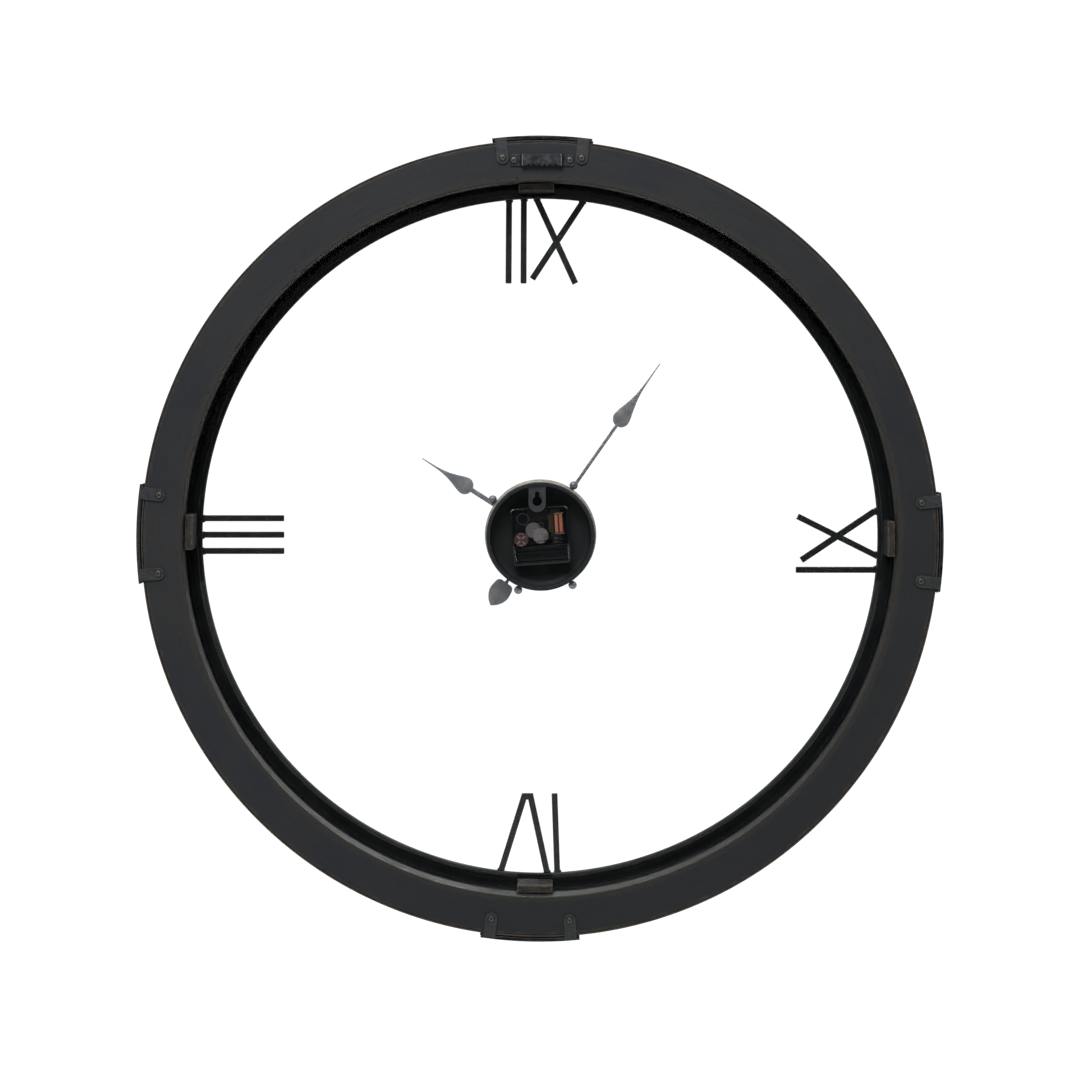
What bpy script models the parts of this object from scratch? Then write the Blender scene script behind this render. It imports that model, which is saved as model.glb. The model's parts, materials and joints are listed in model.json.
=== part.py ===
"""Round open-dial wall clock: a steel channel ring closed by a board at the back, a glass pane, numerals
made of welded bars, and a quartz movement in a pod on the glass.

Every piece is drawn as the clock looks from behind: x to the right, y up and z out of its back. One empty
turns that drawing so that the dial faces -Y and twelve o'clock is at +Z. Lengths are in metres.
"""
import math

import bmesh
import bpy

# Case ring
RIM_RADIUS = 0.392
CASE_WALL = 0.0015
CASE_BACK = 0.026
CASE_FRONT = -0.026
FACE_THICKNESS = 0.002
LIP_RADIUS = 0.339
LIP_WIDTH = 0.005
LIP_BACK = -0.021
INNER_WALL_RADIUS = 0.355
INNER_WALL_BACK = 0.0037
BOARD_INNER_RADIUS = 0.352
BOARD_FRONT = 0.004
RING_STEPS = 72
GAP = 0.0003

# Glass and the blocks behind it
GLASS_RADIUS = 0.3535
GLASS_THICKNESS = 0.003
GLASS_FRONT = LIP_BACK + GAP
GLASS_BACK = GLASS_FRONT + GLASS_THICKNESS
BLOCK_LENGTH = 0.035
BLOCK_HEIGHT = 0.0072
BLOCK_TOP_RADIUS = 0.3509
BLOCK_BACK = 0.014

# Straps over the rim, and their screws
STRAP_OUTER_RADIUS = 0.3964
STRAP_THICKNESS = 0.002
STRAP_LENGTH = 0.0984
STRAP_FLANGE_REACH = 0.370
TAB_WIDTH = 0.0120
TAB_SPACING = 0.0806
TAB_THICKNESS = 0.0015
TAB_FRONT = CASE_BACK + GAP
TAB_BACK = TAB_FRONT + TAB_THICKNESS
SCREW_RING_RADIUS = 0.3763
SCREW_HEAD_RADIUS = 0.0034
SCREW_HEAD_HEIGHT = 0.0013
SCREW_SHANK_RADIUS = 0.0013
SCREW_TIP = 0.0135
PILOT_RADIUS = 0.0017
PILOT_BOTTOM = 0.0125

# Sawtooth hanger
HANGER_X = 0.0018
HANGER_Y = 0.3722
HANGER_LENGTH = 0.0622
HANGER_HEIGHT = 0.0112
HANGER_RAISE = 0.0046
HANGER_SHEET = 0.0012
HANGER_BRIDGE = 0.0380
HANGER_STEP = 0.0024
HANGER_SCREW_SPACING = 0.0548
TOOTH_COUNT = 6
TOOTH_PITCH = 0.0053
TOOTH_DEPTH = 0.0022

# Numeral bars: each line runs from its welded end at the lip to its free end, and the third line of the V
# is the bend that joins its two legs. The later strokes of a numeral are a little thinner than its first.
BAR_WIDTH = 0.0060
BAR_FRONT = -0.0258
BAR_BACK = -0.0212
STROKE_INSET = 0.0002
NUMERAL_LINES = {
    "numeral_12_bar_1": [((-0.0309, 0.339), (-0.0315, 0.2545))],
    "numeral_12_bar_2": [((-0.0161, 0.339), (-0.0165, 0.2545))],
    "numeral_12_cross": [((-0.0035, 0.339), (0.0354, 0.2545)), ((0.0450, 0.339), (-0.0077, 0.2590))],
    "numeral_3_bar_1": [((-0.339, 0.0193), (-0.2569, 0.0193))],
    "numeral_3_bar_2": [((-0.339, 0.0027), (-0.2569, 0.0027))],
    "numeral_3_bar_3": [((-0.339, -0.0136), (-0.2569, -0.0136))],
    "numeral_6_v": [
        ((-0.0400, -0.339), (-0.0155, -0.2600)),
        ((0.0072, -0.339), (-0.0098, -0.2600)),
        ((-0.0184, -0.2614), (-0.0068, -0.2614)),
    ],
    "numeral_6_bar": [((0.0174, -0.339), (0.0146, -0.2584))],
    "numeral_9_cross": [((0.339, -0.0190), (0.2587, 0.0211)), ((0.339, 0.0284), (0.2625, -0.0229))],
    "numeral_9_bar": [((0.339, -0.0326), (0.2570, -0.0326))],
}

# Pod on the glass
AXIS_X = 0.0006
AXIS_Y = 0.0030
POD_STEPS = 40
POD_BASE_RADIUS = 0.0558
POD_BASE_BACK = -0.0144
POD_RADIUS = 0.0539
POD_BACK = 0.0100
POD_WALL = 0.0012
POD_MOUTH_RADIUS = 0.0502
POD_CORNER = 0.0090
POD_FLOOR_FRONT = POD_BASE_BACK + GAP
POD_FLOOR_BACK = POD_FLOOR_FRONT + POD_WALL
BUSH_CLEARANCE_RADIUS = 0.0052
POD_TAB_WIDTH = 0.0170
POD_TAB_X = -0.0034
POD_TAB_TOP = 0.0508
POD_TAB_HOLE_Y = 0.0350
POD_TAB_HOLE_RADIUS = 0.0048
POD_TAB_SLOT_TOP = 0.0446
POD_TAB_SLOT_WIDTH = 0.0046
POD_SCREW_RADIUS = 0.0596
POD_SCREW_ANGLES = {"upper_right": 56.3, "upper_left": 143.4, "lower_left": 247.9, "lower_right": 302.5}
POD_SCREW_HOLE_RADIUS = 0.0023

# Movement, drawn square and then turned a little on its bush
MOVEMENT_TURN = math.radians(4.0)
MOVEMENT_HALF = 0.0282
MOVEMENT_CORNER = 0.0030
MOVEMENT_WALL = 0.0013
MOVEMENT_FRONT = POD_FLOOR_BACK + GAP
MOVEMENT_FLOOR = MOVEMENT_FRONT + 0.0012
MOVEMENT_BACK = 0.0015
COVER_FRONT = MOVEMENT_BACK + GAP
COVER_BACK = COVER_FRONT + 0.0012
BAY_TOP = -0.0104
CHAMBER_BOTTOM = -0.0094
BUSH_RADIUS = 0.00395
BUSH_BORE_RADIUS = 0.00255
BUSH_FRONT = -0.0275
NUT_BACK = GLASS_FRONT - GAP
NUT_THICKNESS = 0.0030
NUT_RADIUS = 0.0081

# Wheels: teeth, places from the bush axis, and depths
TIP_HEIGHT = 0.55
VALLEY_DEPTH = 1.15
TIP_SHARE = 0.12
MOTION_DISTANCE = 0.0100
TRAIN_DISTANCE = 0.00885
ROTOR_DISTANCE = 0.0070
CANNON_TEETH = 10
TRANSFER_TEETH = 30
TRANSFER_PINION_TEETH = 8
HOUR_TEETH = 32
SET_TEETH = 10
MINUTE_TEETH = 45
THIRD_TEETH = 48
SECONDS_TEETH = 45
TRAIN_PINION_TEETH = 6
INTERMEDIATE_TEETH = 32
ROTOR_TEETH = 8
SET_PLACE = (-0.0195, -0.0025)
THIRD_ANGLE = math.radians(138.7)
INTERMEDIATE_ANGLE = math.radians(-19.2)
ROTOR_ANGLE = math.radians(-19.2)
ARBOR_RADIUS = 0.00045
PIVOT_HOLE_RADIUS = 0.00060
MINUTE_ARBOR_RADIUS = 0.0012
TUBE_BORE_RADIUS = 0.00132
TUBE_RADIUS = 0.00242
KNOB_RADIUS = 0.0068
KNOB_HOLE_RADIUS = 0.0071
KNOB_FRONT = 0.0019
KNOB_BACK = 0.0042
SET_ARBOR_RADIUS = 0.0010
PLATE_FRONT = -0.0083
PLATE_BACK = -0.0075

# Hands, drawn pointing up from the axis
HOUR_HAND_FRONT = -0.0293
MINUTE_HAND_FRONT = -0.0325
HAND_THICKNESS = 0.0010
HOUR_HAND_ANGLE = math.radians(57.4)
MINUTE_HAND_ANGLE = math.radians(-35.0)
CAP_FRONT = -0.0362

# Pushes the whole drawing along its z axis so that the box of the clock is centred on the origin
DEPTH_SHIFT = 0.00205


def polar(radius, angle, centre=(0.0, 0.0)):
    return (centre[0] + radius * math.cos(angle), centre[1] + radius * math.sin(angle))


def arc(radius, start, end, count, centre=(0.0, 0.0)):
    """Points from one angle to another, both included."""
    return [polar(radius, start + (end - start) * i / (count - 1), centre) for i in range(count)]


def circle(radius, count, centre=(0.0, 0.0)):
    return [polar(radius, 2 * math.pi * i / count, centre) for i in range(count)]


def rounded_rectangle(left, bottom, right, top, radius, corner_points=4):
    low_x, high_x = left + radius, right - radius
    low_y, high_y = bottom + radius, top - radius
    centres = ((high_x, high_y), (low_x, high_y), (low_x, low_y), (high_x, low_y))
    points = []
    for quarter, centre in enumerate(centres):
        start = quarter * math.pi / 2
        points += arc(radius, start, start + math.pi / 2, corner_points, centre)
    return points


def new_collection(name):
    collection = bpy.data.collections.new(name)
    bpy.context.scene.collection.children.link(collection)
    return collection


def new_empty(name, parent=None, location=(0.0, 0.0, 0.0), rotation=(0.0, 0.0, 0.0)):
    empty = bpy.data.objects.new(name, None)
    empty.parent = parent
    empty.location = location
    empty.rotation_euler = rotation
    PARTS.objects.link(empty)
    return empty


def new_finish(name, colour, roughness, metallic, alpha=1.0):
    material = bpy.data.materials.new(name)
    material.use_nodes = True
    shader = material.node_tree.nodes["Principled BSDF"]
    shader.inputs["Base Color"].default_value = (*colour, 1.0)
    shader.inputs["Roughness"].default_value = roughness
    shader.inputs["Metallic"].default_value = metallic
    shader.inputs["Alpha"].default_value = alpha
    return material


def add_part(name, mesh, finish, parent, place=(0.0, 0.0), turn=0.0):
    """One named sub-part, with its origin on the axis it would turn about."""
    obj = bpy.data.objects.new(name, mesh)
    obj.parent = parent
    obj.location = (place[0], place[1], 0.0)
    obj.rotation_euler = (0.0, 0.0, turn)
    obj.data.materials.append(finish)
    PARTS.objects.link(obj)
    return obj


def turned_part(name, profile, finish, parent, steps, place=(0.0, 0.0), turn=0.0):
    """A profile of (radius, depth) points turned about z. A profile that misses the axis is a closed loop."""
    mesh = bpy.data.meshes.new(name)
    edges = [(i, i + 1) for i in range(len(profile) - 1)]
    if profile[0][0] > 0.0:
        edges.append((len(profile) - 1, 0))
    mesh.from_pydata([(radius, 0.0, depth) for radius, depth in profile], edges, [])
    obj = add_part(name, mesh, finish, parent, place, turn)
    screw = obj.modifiers.new("Turn", "SCREW")
    screw.axis = "Z"
    screw.angle = 2 * math.pi
    screw.steps = steps
    screw.render_steps = steps
    screw.use_merge_vertices = True
    screw.merge_threshold = 1e-6
    return obj


def flat_mesh(name, outlines, front, back):
    """A flat piece between two depths. The first outline is its edge and the others are holes in it."""
    curve = bpy.data.curves.new(name, "CURVE")
    curve.dimensions = "2D"
    curve.fill_mode = "BOTH"
    curve.extrude = (back - front) / 2
    for outline in outlines:
        spline = curve.splines.new("POLY")
        spline.points.add(len(outline) - 1)
        for point, (x, y) in zip(spline.points, outline):
            point.co = (x, y, 0.0, 1.0)
        spline.use_cyclic_u = True
    drawing = bpy.data.objects.new(name + "_outline", curve)
    CUTTERS.objects.link(drawing)
    graph = bpy.context.evaluated_depsgraph_get()
    mesh = bpy.data.meshes.new_from_object(drawing.evaluated_get(graph))
    bpy.data.objects.remove(drawing)
    work = bmesh.new()
    work.from_mesh(mesh)
    bmesh.ops.remove_doubles(work, verts=work.verts, dist=1e-6)
    bmesh.ops.translate(work, verts=work.verts, vec=(0.0, 0.0, (front + back) / 2))
    bmesh.ops.recalc_face_normals(work, faces=work.faces)
    work.to_mesh(mesh)
    work.free()
    return mesh


def flat_part(name, outlines, front, back, finish, parent, place=(0.0, 0.0), turn=0.0):
    return add_part(name, flat_mesh(name, outlines, front, back), finish, parent, place, turn)


def as_tool(obj):
    """Moves a shape among the cutters, which only Boolean modifiers use."""
    PARTS.objects.unlink(obj)
    CUTTERS.objects.link(obj)
    obj.hide_render = True
    obj.display_type = "WIRE"
    return obj


def combine(base, tool, operation):
    boolean = base.modifiers.new(operation.capitalize(), "BOOLEAN")
    boolean.operation = operation
    boolean.solver = "EXACT"
    boolean.object = as_tool(tool)


def gear_outline(teeth, module, tooth_angle):
    """Flat-topped teeth with V-shaped valleys. One tooth points along tooth_angle."""
    pitch = 2 * math.pi / teeth
    tip = module * (teeth / 2 + TIP_HEIGHT)
    valley = module * (teeth / 2 - VALLEY_DEPTH)
    points = []
    for i in range(teeth):
        middle = tooth_angle + i * pitch
        points.append(polar(tip, middle - TIP_SHARE * pitch / 2))
        points.append(polar(tip, middle + TIP_SHARE * pitch / 2))
        points.append(polar(valley, middle + pitch / 2))
    return points


def meshing_angle(own_place, other_place, teeth):
    """The direction to the other wheel for a tooth, or half a pitch of these teeth beside it for a valley."""
    direction = math.atan2(other_place[1] - own_place[1], other_place[0] - own_place[0])
    if teeth is None:
        return direction
    return direction + math.pi / teeth


def shade(obj):
    """Settles a part's modifiers into its mesh, then shades it smooth up to its real edges."""
    graph = bpy.context.evaluated_depsgraph_get()
    mesh = bpy.data.meshes.new_from_object(obj.evaluated_get(graph))
    obj.modifiers.clear()
    obj.data = mesh
    mesh.shade_smooth()
    mesh.set_sharp_from_angle(angle=math.radians(30.0))


def make_case():
    channel = [
        (RIM_RADIUS, CASE_BACK),
        (RIM_RADIUS, CASE_FRONT),
        (LIP_RADIUS, CASE_FRONT),
        (LIP_RADIUS, LIP_BACK),
        (LIP_RADIUS + LIP_WIDTH, LIP_BACK),
        (LIP_RADIUS + LIP_WIDTH, CASE_FRONT + FACE_THICKNESS),
        (INNER_WALL_RADIUS, CASE_FRONT + FACE_THICKNESS),
        (INNER_WALL_RADIUS, INNER_WALL_BACK),
        (INNER_WALL_RADIUS + CASE_WALL, INNER_WALL_BACK),
        (INNER_WALL_RADIUS + CASE_WALL, CASE_FRONT + FACE_THICKNESS),
        (RIM_RADIUS - CASE_WALL, CASE_FRONT + FACE_THICKNESS),
        (RIM_RADIUS - CASE_WALL, CASE_BACK),
    ]
    turned_part("front_case", channel, FINISHES["case_steel"], CLOCK, RING_STEPS)
    board_edge = RIM_RADIUS - CASE_WALL - GAP
    rubbed = 0.0008
    board_profile = [
        (board_edge, CASE_BACK),
        (board_edge, BOARD_FRONT),
        (BOARD_INNER_RADIUS, BOARD_FRONT),
        (BOARD_INNER_RADIUS, CASE_BACK - rubbed),
        (BOARD_INNER_RADIUS + rubbed, CASE_BACK),
    ]
    board = turned_part("back_ring", board_profile, FINISHES["board"], CLOCK, RING_STEPS)
    for place in strap_screw_places() + hanger_screw_places():
        pilot = flat_part("pilot_hole", [circle(PILOT_RADIUS, 10)], PILOT_BOTTOM, CASE_BACK + GAP,
                          FINISHES["board"], CLOCK, place)
        combine(board, pilot, "DIFFERENCE")


def make_glass():
    pod_holes = [
        circle(POD_SCREW_HOLE_RADIUS, 12, pod_screw_place(angle)) for angle in POD_SCREW_ANGLES.values()
    ]
    centre_hole = circle(BUSH_CLEARANCE_RADIUS, 20, (AXIS_X, AXIS_Y))
    outlines = [circle(GLASS_RADIUS, RING_STEPS), centre_hole] + pod_holes
    flat_part("glass_pane", outlines, GLASS_FRONT, GLASS_BACK, FINISHES["glass"], CLOCK)


def make_glass_blocks():
    """Each block is drawn at twelve o'clock, then turned to its place behind the glass."""
    for hour, (quarter, offset) in CLOCK_POINTS["blocks"].items():
        mesh = bpy.data.meshes.new(f"glass_block_{hour}")
        work = bmesh.new()
        bmesh.ops.create_cube(work, size=1.0)
        front = GLASS_BACK + GAP
        bmesh.ops.scale(work, verts=work.verts, vec=(BLOCK_LENGTH, BLOCK_HEIGHT, BLOCK_BACK - front))
        middle = (0.0, BLOCK_TOP_RADIUS - BLOCK_HEIGHT / 2, (BLOCK_BACK + front) / 2)
        bmesh.ops.translate(work, verts=work.verts, vec=middle)
        work.to_mesh(mesh)
        work.free()
        block = add_part(f"glass_block_{hour}", mesh, FINISHES["block"], CLOCK)
        block.rotation_euler.z = math.radians(quarter) - offset / BLOCK_TOP_RADIUS
        bevel = block.modifiers.new("Edges", "BEVEL")
        bevel.width = 0.0005
        bevel.segments = 1


def strap_turn(hour):
    quarter, offset = CLOCK_POINTS["straps"][hour]
    return math.radians(quarter) - offset / RIM_RADIUS


def strap_screw_places():
    """Two screws in each strap, on the tab centres."""
    places = []
    for hour in CLOCK_POINTS["straps"]:
        for side in (-1, 1):
            middle = math.pi / 2 + strap_turn(hour)
            places.append(polar(SCREW_RING_RADIUS, middle + side * TAB_SPACING / 2 / RIM_RADIUS))
    return places


def hanger_screw_places():
    return [(HANGER_X + side * HANGER_SCREW_SPACING / 2, HANGER_Y) for side in (-1, 1)]


def make_straps():
    """A bowed plate over the rim, with two tabs folded on to the back and one wide flange on the face."""
    half = STRAP_LENGTH / 2 / STRAP_OUTER_RADIUS
    up = math.pi / 2
    hidden = 0.0004
    plate = (arc(STRAP_OUTER_RADIUS, up - half, up + half, 9)
             + arc(STRAP_OUTER_RADIUS - STRAP_THICKNESS, up + half, up - half, 9))
    flange_half = half - hidden / RIM_RADIUS
    flange = (arc(STRAP_OUTER_RADIUS - hidden, up - flange_half, up + flange_half, 9)
              + arc(STRAP_FLANGE_REACH, up + flange_half, up - flange_half, 9))
    for hour in CLOCK_POINTS["straps"]:
        turn = strap_turn(hour)
        strap = flat_part(f"strap_{hour}", [plate], -TAB_BACK + hidden, TAB_BACK - hidden,
                          FINISHES["strap"], CLOCK, turn=turn)
        face = flat_part("strap_flange", [flange], -TAB_BACK, -TAB_FRONT, FINISHES["strap"], CLOCK, turn=turn)
        combine(strap, face, "UNION")
        for side in (-1, 1):
            lean = side * TAB_SPACING / 2 / RIM_RADIUS
            top = STRAP_OUTER_RADIUS - hidden
            outline = [(TAB_WIDTH / 2, top), (-TAB_WIDTH / 2, top)]
            outline += arc(TAB_WIDTH / 2, math.pi, 2 * math.pi, 9, (0.0, SCREW_RING_RADIUS))
            hole = circle(PILOT_RADIUS, 10, (0.0, SCREW_RING_RADIUS))
            tab = flat_part("strap_tab", [outline, hole], TAB_FRONT, TAB_BACK, FINISHES["strap"], CLOCK,
                            turn=turn + lean)
            combine(strap, tab, "UNION")


def screw_profile(head_front):
    """A pan head on a plain shank."""
    head_back = head_front + SCREW_HEAD_HEIGHT
    return [
        (0.0, head_back),
        (SCREW_HEAD_RADIUS * 0.7, head_back),
        (SCREW_HEAD_RADIUS, head_front + SCREW_HEAD_HEIGHT * 0.4),
        (SCREW_HEAD_RADIUS, head_front),
        (SCREW_SHANK_RADIUS, head_front),
        (SCREW_SHANK_RADIUS, SCREW_TIP + SCREW_SHANK_RADIUS),
        (0.0, SCREW_TIP),
    ]


def make_case_screws():
    for i, place in enumerate(strap_screw_places()):
        hour = list(CLOCK_POINTS["straps"])[i // 2]
        side = "ab"[i % 2]
        turned_part(f"strap_screw_{hour}_{side}", screw_profile(TAB_BACK + GAP), FINISHES["screw"], CLOCK, 10,
                    place)
    for i, place in enumerate(hanger_screw_places()):
        turned_part(f"hanger_screw_{'ab'[i]}", screw_profile(CASE_BACK + HANGER_SHEET + 2 * GAP),
                    FINISHES["screw"], CLOCK, 10, place)


def make_hanger():
    """A strip folded into a low bridge, with teeth cut in the lower edge of the raised part."""
    ear = HANGER_LENGTH / 2
    deck = HANGER_BRIDGE / 2
    foot = deck + HANGER_STEP
    low = CASE_BACK + GAP
    high = low + HANGER_RAISE
    strip = [(ear, low), (ear, low + HANGER_SHEET), (foot, low + HANGER_SHEET), (deck, high + HANGER_SHEET)]
    strip += [(-x, depth) for x, depth in reversed(strip)]
    strip += [(-foot + HANGER_SHEET, low), (-deck + HANGER_SHEET, high), (deck - HANGER_SHEET, high),
              (foot - HANGER_SHEET, low)]
    fold = [(x, -depth) for x, depth in strip]
    hanger = flat_part("sawtooth_hanger", [fold], -HANGER_HEIGHT / 2, HANGER_HEIGHT / 2, FINISHES["hanger"],
                       CLOCK, (HANGER_X, HANGER_Y))
    hanger.rotation_euler.x = -math.pi / 2
    lower_edge = HANGER_Y - HANGER_HEIGHT / 2
    for i in range(TOOTH_COUNT):
        x = HANGER_X + (i - (TOOTH_COUNT - 1) / 2) * TOOTH_PITCH
        notch = [(x - TOOTH_PITCH * 0.36, lower_edge - GAP), (x + TOOTH_PITCH * 0.36, lower_edge - GAP),
                 (x, lower_edge + TOOTH_DEPTH)]
        tooth = flat_part("notch", [notch], high - GAP, high + HANGER_SHEET + GAP, FINISHES["hanger"], CLOCK)
        combine(hanger, tooth, "DIFFERENCE")
    for place in hanger_screw_places():
        hole = flat_part("hanger_hole", [circle(PILOT_RADIUS, 10)], low - GAP, low + HANGER_SHEET + GAP,
                         FINISHES["hanger"], CLOCK, place)
        combine(hanger, hole, "DIFFERENCE")


def bar_outline(welded_end, free_end):
    """A straight bar, shortened at the welded end until both of its corners clear the lip."""
    across = (welded_end[0] - free_end[0], welded_end[1] - free_end[1])
    length = math.hypot(*across)
    along = (across[0] / length, across[1] / length)
    side = (-along[1] * BAR_WIDTH / 2, along[0] * BAR_WIDTH / 2)
    reach = LIP_RADIUS * math.cos(math.pi / RING_STEPS) - GAP
    run = length
    for sign in (-1, 1):
        corner = (free_end[0] + sign * side[0], free_end[1] + sign * side[1])
        forward = corner[0] * along[0] + corner[1] * along[1]
        square = corner[0] ** 2 + corner[1] ** 2
        run = min(run, -forward + math.sqrt(forward ** 2 + reach ** 2 - square))
    tip = (free_end[0] + run * along[0], free_end[1] + run * along[1])
    return [
        (free_end[0] - side[0], free_end[1] - side[1]),
        (free_end[0] + side[0], free_end[1] + side[1]),
        (tip[0] + side[0], tip[1] + side[1]),
        (tip[0] - side[0], tip[1] - side[1]),
    ]


def make_numerals():
    for name, lines in NUMERAL_LINES.items():
        bar = flat_part(name, [bar_outline(*lines[0])], BAR_FRONT, BAR_BACK, FINISHES["bar"], CLOCK)
        for i, line in enumerate(lines[1:], 1):
            inset = STROKE_INSET * i
            other = flat_part("other_stroke", [bar_outline(*line)], BAR_FRONT + inset, BAR_BACK - inset,
                              FINISHES["bar"], CLOCK)
            combine(bar, other, "UNION")


def pod_screw_place(angle):
    return polar(POD_SCREW_RADIUS, math.radians(angle), (AXIS_X, AXIS_Y))


def make_pod():
    edge = 0.0008
    thin = GLASS_BACK + GAP + 0.0010
    base = [
        (POD_BASE_RADIUS - 0.0025, POD_BASE_BACK),
        (POD_BASE_RADIUS - 0.0025, thin + edge),
        (POD_BASE_RADIUS, thin),
        (POD_BASE_RADIUS, GLASS_BACK + GAP),
        (BUSH_CLEARANCE_RADIUS, GLASS_BACK + GAP),
        (BUSH_CLEARANCE_RADIUS, POD_BASE_BACK),
    ]
    turned_part("pod_base", base, FINISHES["pod_base"], AXIS, POD_STEPS)
    outer = arc(POD_CORNER, 0.0, -math.pi / 2, 5, (POD_RADIUS - POD_CORNER, POD_FLOOR_FRONT + POD_CORNER))
    inner_radius = POD_CORNER - POD_WALL
    inner = arc(inner_radius, -math.pi / 2, 0.0, 5, (POD_RADIUS - POD_CORNER, POD_FLOOR_FRONT + POD_CORNER))
    cup = [(POD_RADIUS, POD_BACK)] + outer
    cup += [(BUSH_CLEARANCE_RADIUS, POD_FLOOR_FRONT), (BUSH_CLEARANCE_RADIUS, POD_FLOOR_BACK)]
    cup += inner
    cup += [(POD_RADIUS - POD_WALL, POD_BACK - POD_WALL), (POD_MOUTH_RADIUS, POD_BACK - POD_WALL),
            (POD_MOUTH_RADIUS, POD_BACK)]
    turned_part("pod_cup", cup, FINISHES["pod_cup"], AXIS, POD_STEPS)

    half = POD_TAB_WIDTH / 2
    outline = [(POD_TAB_X + half, POD_TAB_TOP), (POD_TAB_X - half, POD_TAB_TOP)]
    outline += arc(half, math.pi, 2 * math.pi, 11, (POD_TAB_X, POD_TAB_HOLE_Y - 0.0024))
    slot_half = POD_TAB_SLOT_WIDTH / 2
    opening = math.asin(slot_half / POD_TAB_HOLE_RADIUS)
    up = math.pi / 2
    hole_end = up + 2 * math.pi - opening
    keyhole = arc(POD_TAB_HOLE_RADIUS, up + opening, hole_end, 13, (POD_TAB_X, POD_TAB_HOLE_Y))
    keyhole += arc(slot_half, 0.0, math.pi, 5, (POD_TAB_X, POD_TAB_SLOT_TOP - slot_half))
    tab_back = POD_BACK - POD_WALL - GAP
    flat_part("pod_hanger_tab", [outline, keyhole], tab_back - POD_WALL, tab_back, FINISHES["pod_tab"], AXIS)

    washer_front = thin + edge + GAP
    head_back = washer_front + 0.0026
    screw = [
        (0.0, head_back),
        (0.0024, head_back),
        (0.0034, head_back - 0.0010),
        (0.0034, washer_front + 0.0008),
        (0.0042, washer_front + 0.0008),
        (0.0042, washer_front),
        (0.0018, washer_front),
        (0.0018, GLASS_FRONT - GAP),
        (0.0038, GLASS_FRONT - GAP),
        (0.0038, GLASS_FRONT - 0.0022),
        (0.0020, GLASS_FRONT - 0.0030),
        (0.0, GLASS_FRONT - 0.0030),
    ]
    for corner, angle in POD_SCREW_ANGLES.items():
        turned_part(f"pod_screw_{corner}", screw, FINISHES["zinc"], CLOCK, 12, pod_screw_place(angle))


def pivot_holes(places, radius=PIVOT_HOLE_RADIUS, count=8):
    return [circle(radius, count, place) for place in places]


def make_movement_case():
    """A square tray with a gear chamber, a battery bay and the threaded bush moulded into its floor."""
    half = MOVEMENT_HALF
    inner = half - MOVEMENT_WALL
    tray = flat_part("movement_case", [rounded_rectangle(-half, -half, half, half, MOVEMENT_CORNER)],
                     MOVEMENT_FRONT, MOVEMENT_BACK, FINISHES["movement_case"], MOVEMENT)
    chamber = rounded_rectangle(-inner, CHAMBER_BOTTOM, inner, inner, 0.0015, 3)
    bay = rounded_rectangle(-inner, -inner, inner, BAY_TOP, 0.0015, 3)
    for outline in (chamber, bay):
        pocket = flat_part("pocket", [outline], MOVEMENT_FLOOR, MOVEMENT_BACK + GAP,
                           FINISHES["movement_case"], MOVEMENT)
        combine(tray, pocket, "DIFFERENCE")
    bush = flat_part("bush", [circle(BUSH_RADIUS, 24)], BUSH_FRONT, MOVEMENT_FLOOR - GAP,
                     FINISHES["movement_case"], MOVEMENT)
    combine(tray, bush, "UNION")
    bore = flat_part("bore", [circle(BUSH_BORE_RADIUS, 24)], BUSH_FRONT - GAP, MOVEMENT_FLOOR + GAP,
                     FINISHES["movement_case"], MOVEMENT)
    combine(tray, bore, "DIFFERENCE")
    for place in (TRANSFER_PLACE, SET_PLACE):
        radius = PIVOT_HOLE_RADIUS if place == TRANSFER_PLACE else SET_ARBOR_RADIUS + GAP
        pivot = flat_part("pivot", [circle(radius, 8, place)], MOVEMENT_FRONT - GAP, MOVEMENT_FLOOR + GAP,
                          FINISHES["movement_case"], MOVEMENT)
        combine(tray, pivot, "DIFFERENCE")


def make_movement_plates():
    half = MOVEMENT_HALF
    cover_edge = rounded_rectangle(-half, BAY_TOP, half, half, MOVEMENT_CORNER)
    holes = [circle(KNOB_HOLE_RADIUS, 20, SET_PLACE)]
    holes += pivot_holes([THIRD_PLACE, (0.0, 0.0), INTERMEDIATE_PLACE, ROTOR_PLACE])
    flat_part("movement_cover", [cover_edge] + holes, COVER_FRONT, COVER_BACK,
              FINISHES["smoked_cover"], MOVEMENT)

    inner = half - MOVEMENT_WALL - GAP
    plate_edge = rounded_rectangle(-inner, CHAMBER_BOTTOM + GAP, inner, inner, 0.0015, 3)
    holes = [circle(MINUTE_ARBOR_RADIUS + GAP, 12), circle(SET_ARBOR_RADIUS + GAP, 10, SET_PLACE)]
    holes += pivot_holes([THIRD_PLACE, INTERMEDIATE_PLACE, ROTOR_PLACE, TRANSFER_PLACE])
    flat_part("middle_plate", [plate_edge] + holes, PLATE_FRONT, PLATE_BACK,
              FINISHES["movement_case"], MOVEMENT)


def make_bush_nut():
    outline = circle(NUT_RADIUS, 6)
    hole = circle(BUSH_RADIUS + GAP, 24)
    flat_part("bush_nut", [outline, hole], NUT_BACK - NUT_THICKNESS, NUT_BACK, FINISHES["brass"], AXIS)


def arbor_profile(radius, front, back):
    return [(0.0, back), (radius, back), (radius, front), (0.0, front)]


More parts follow.
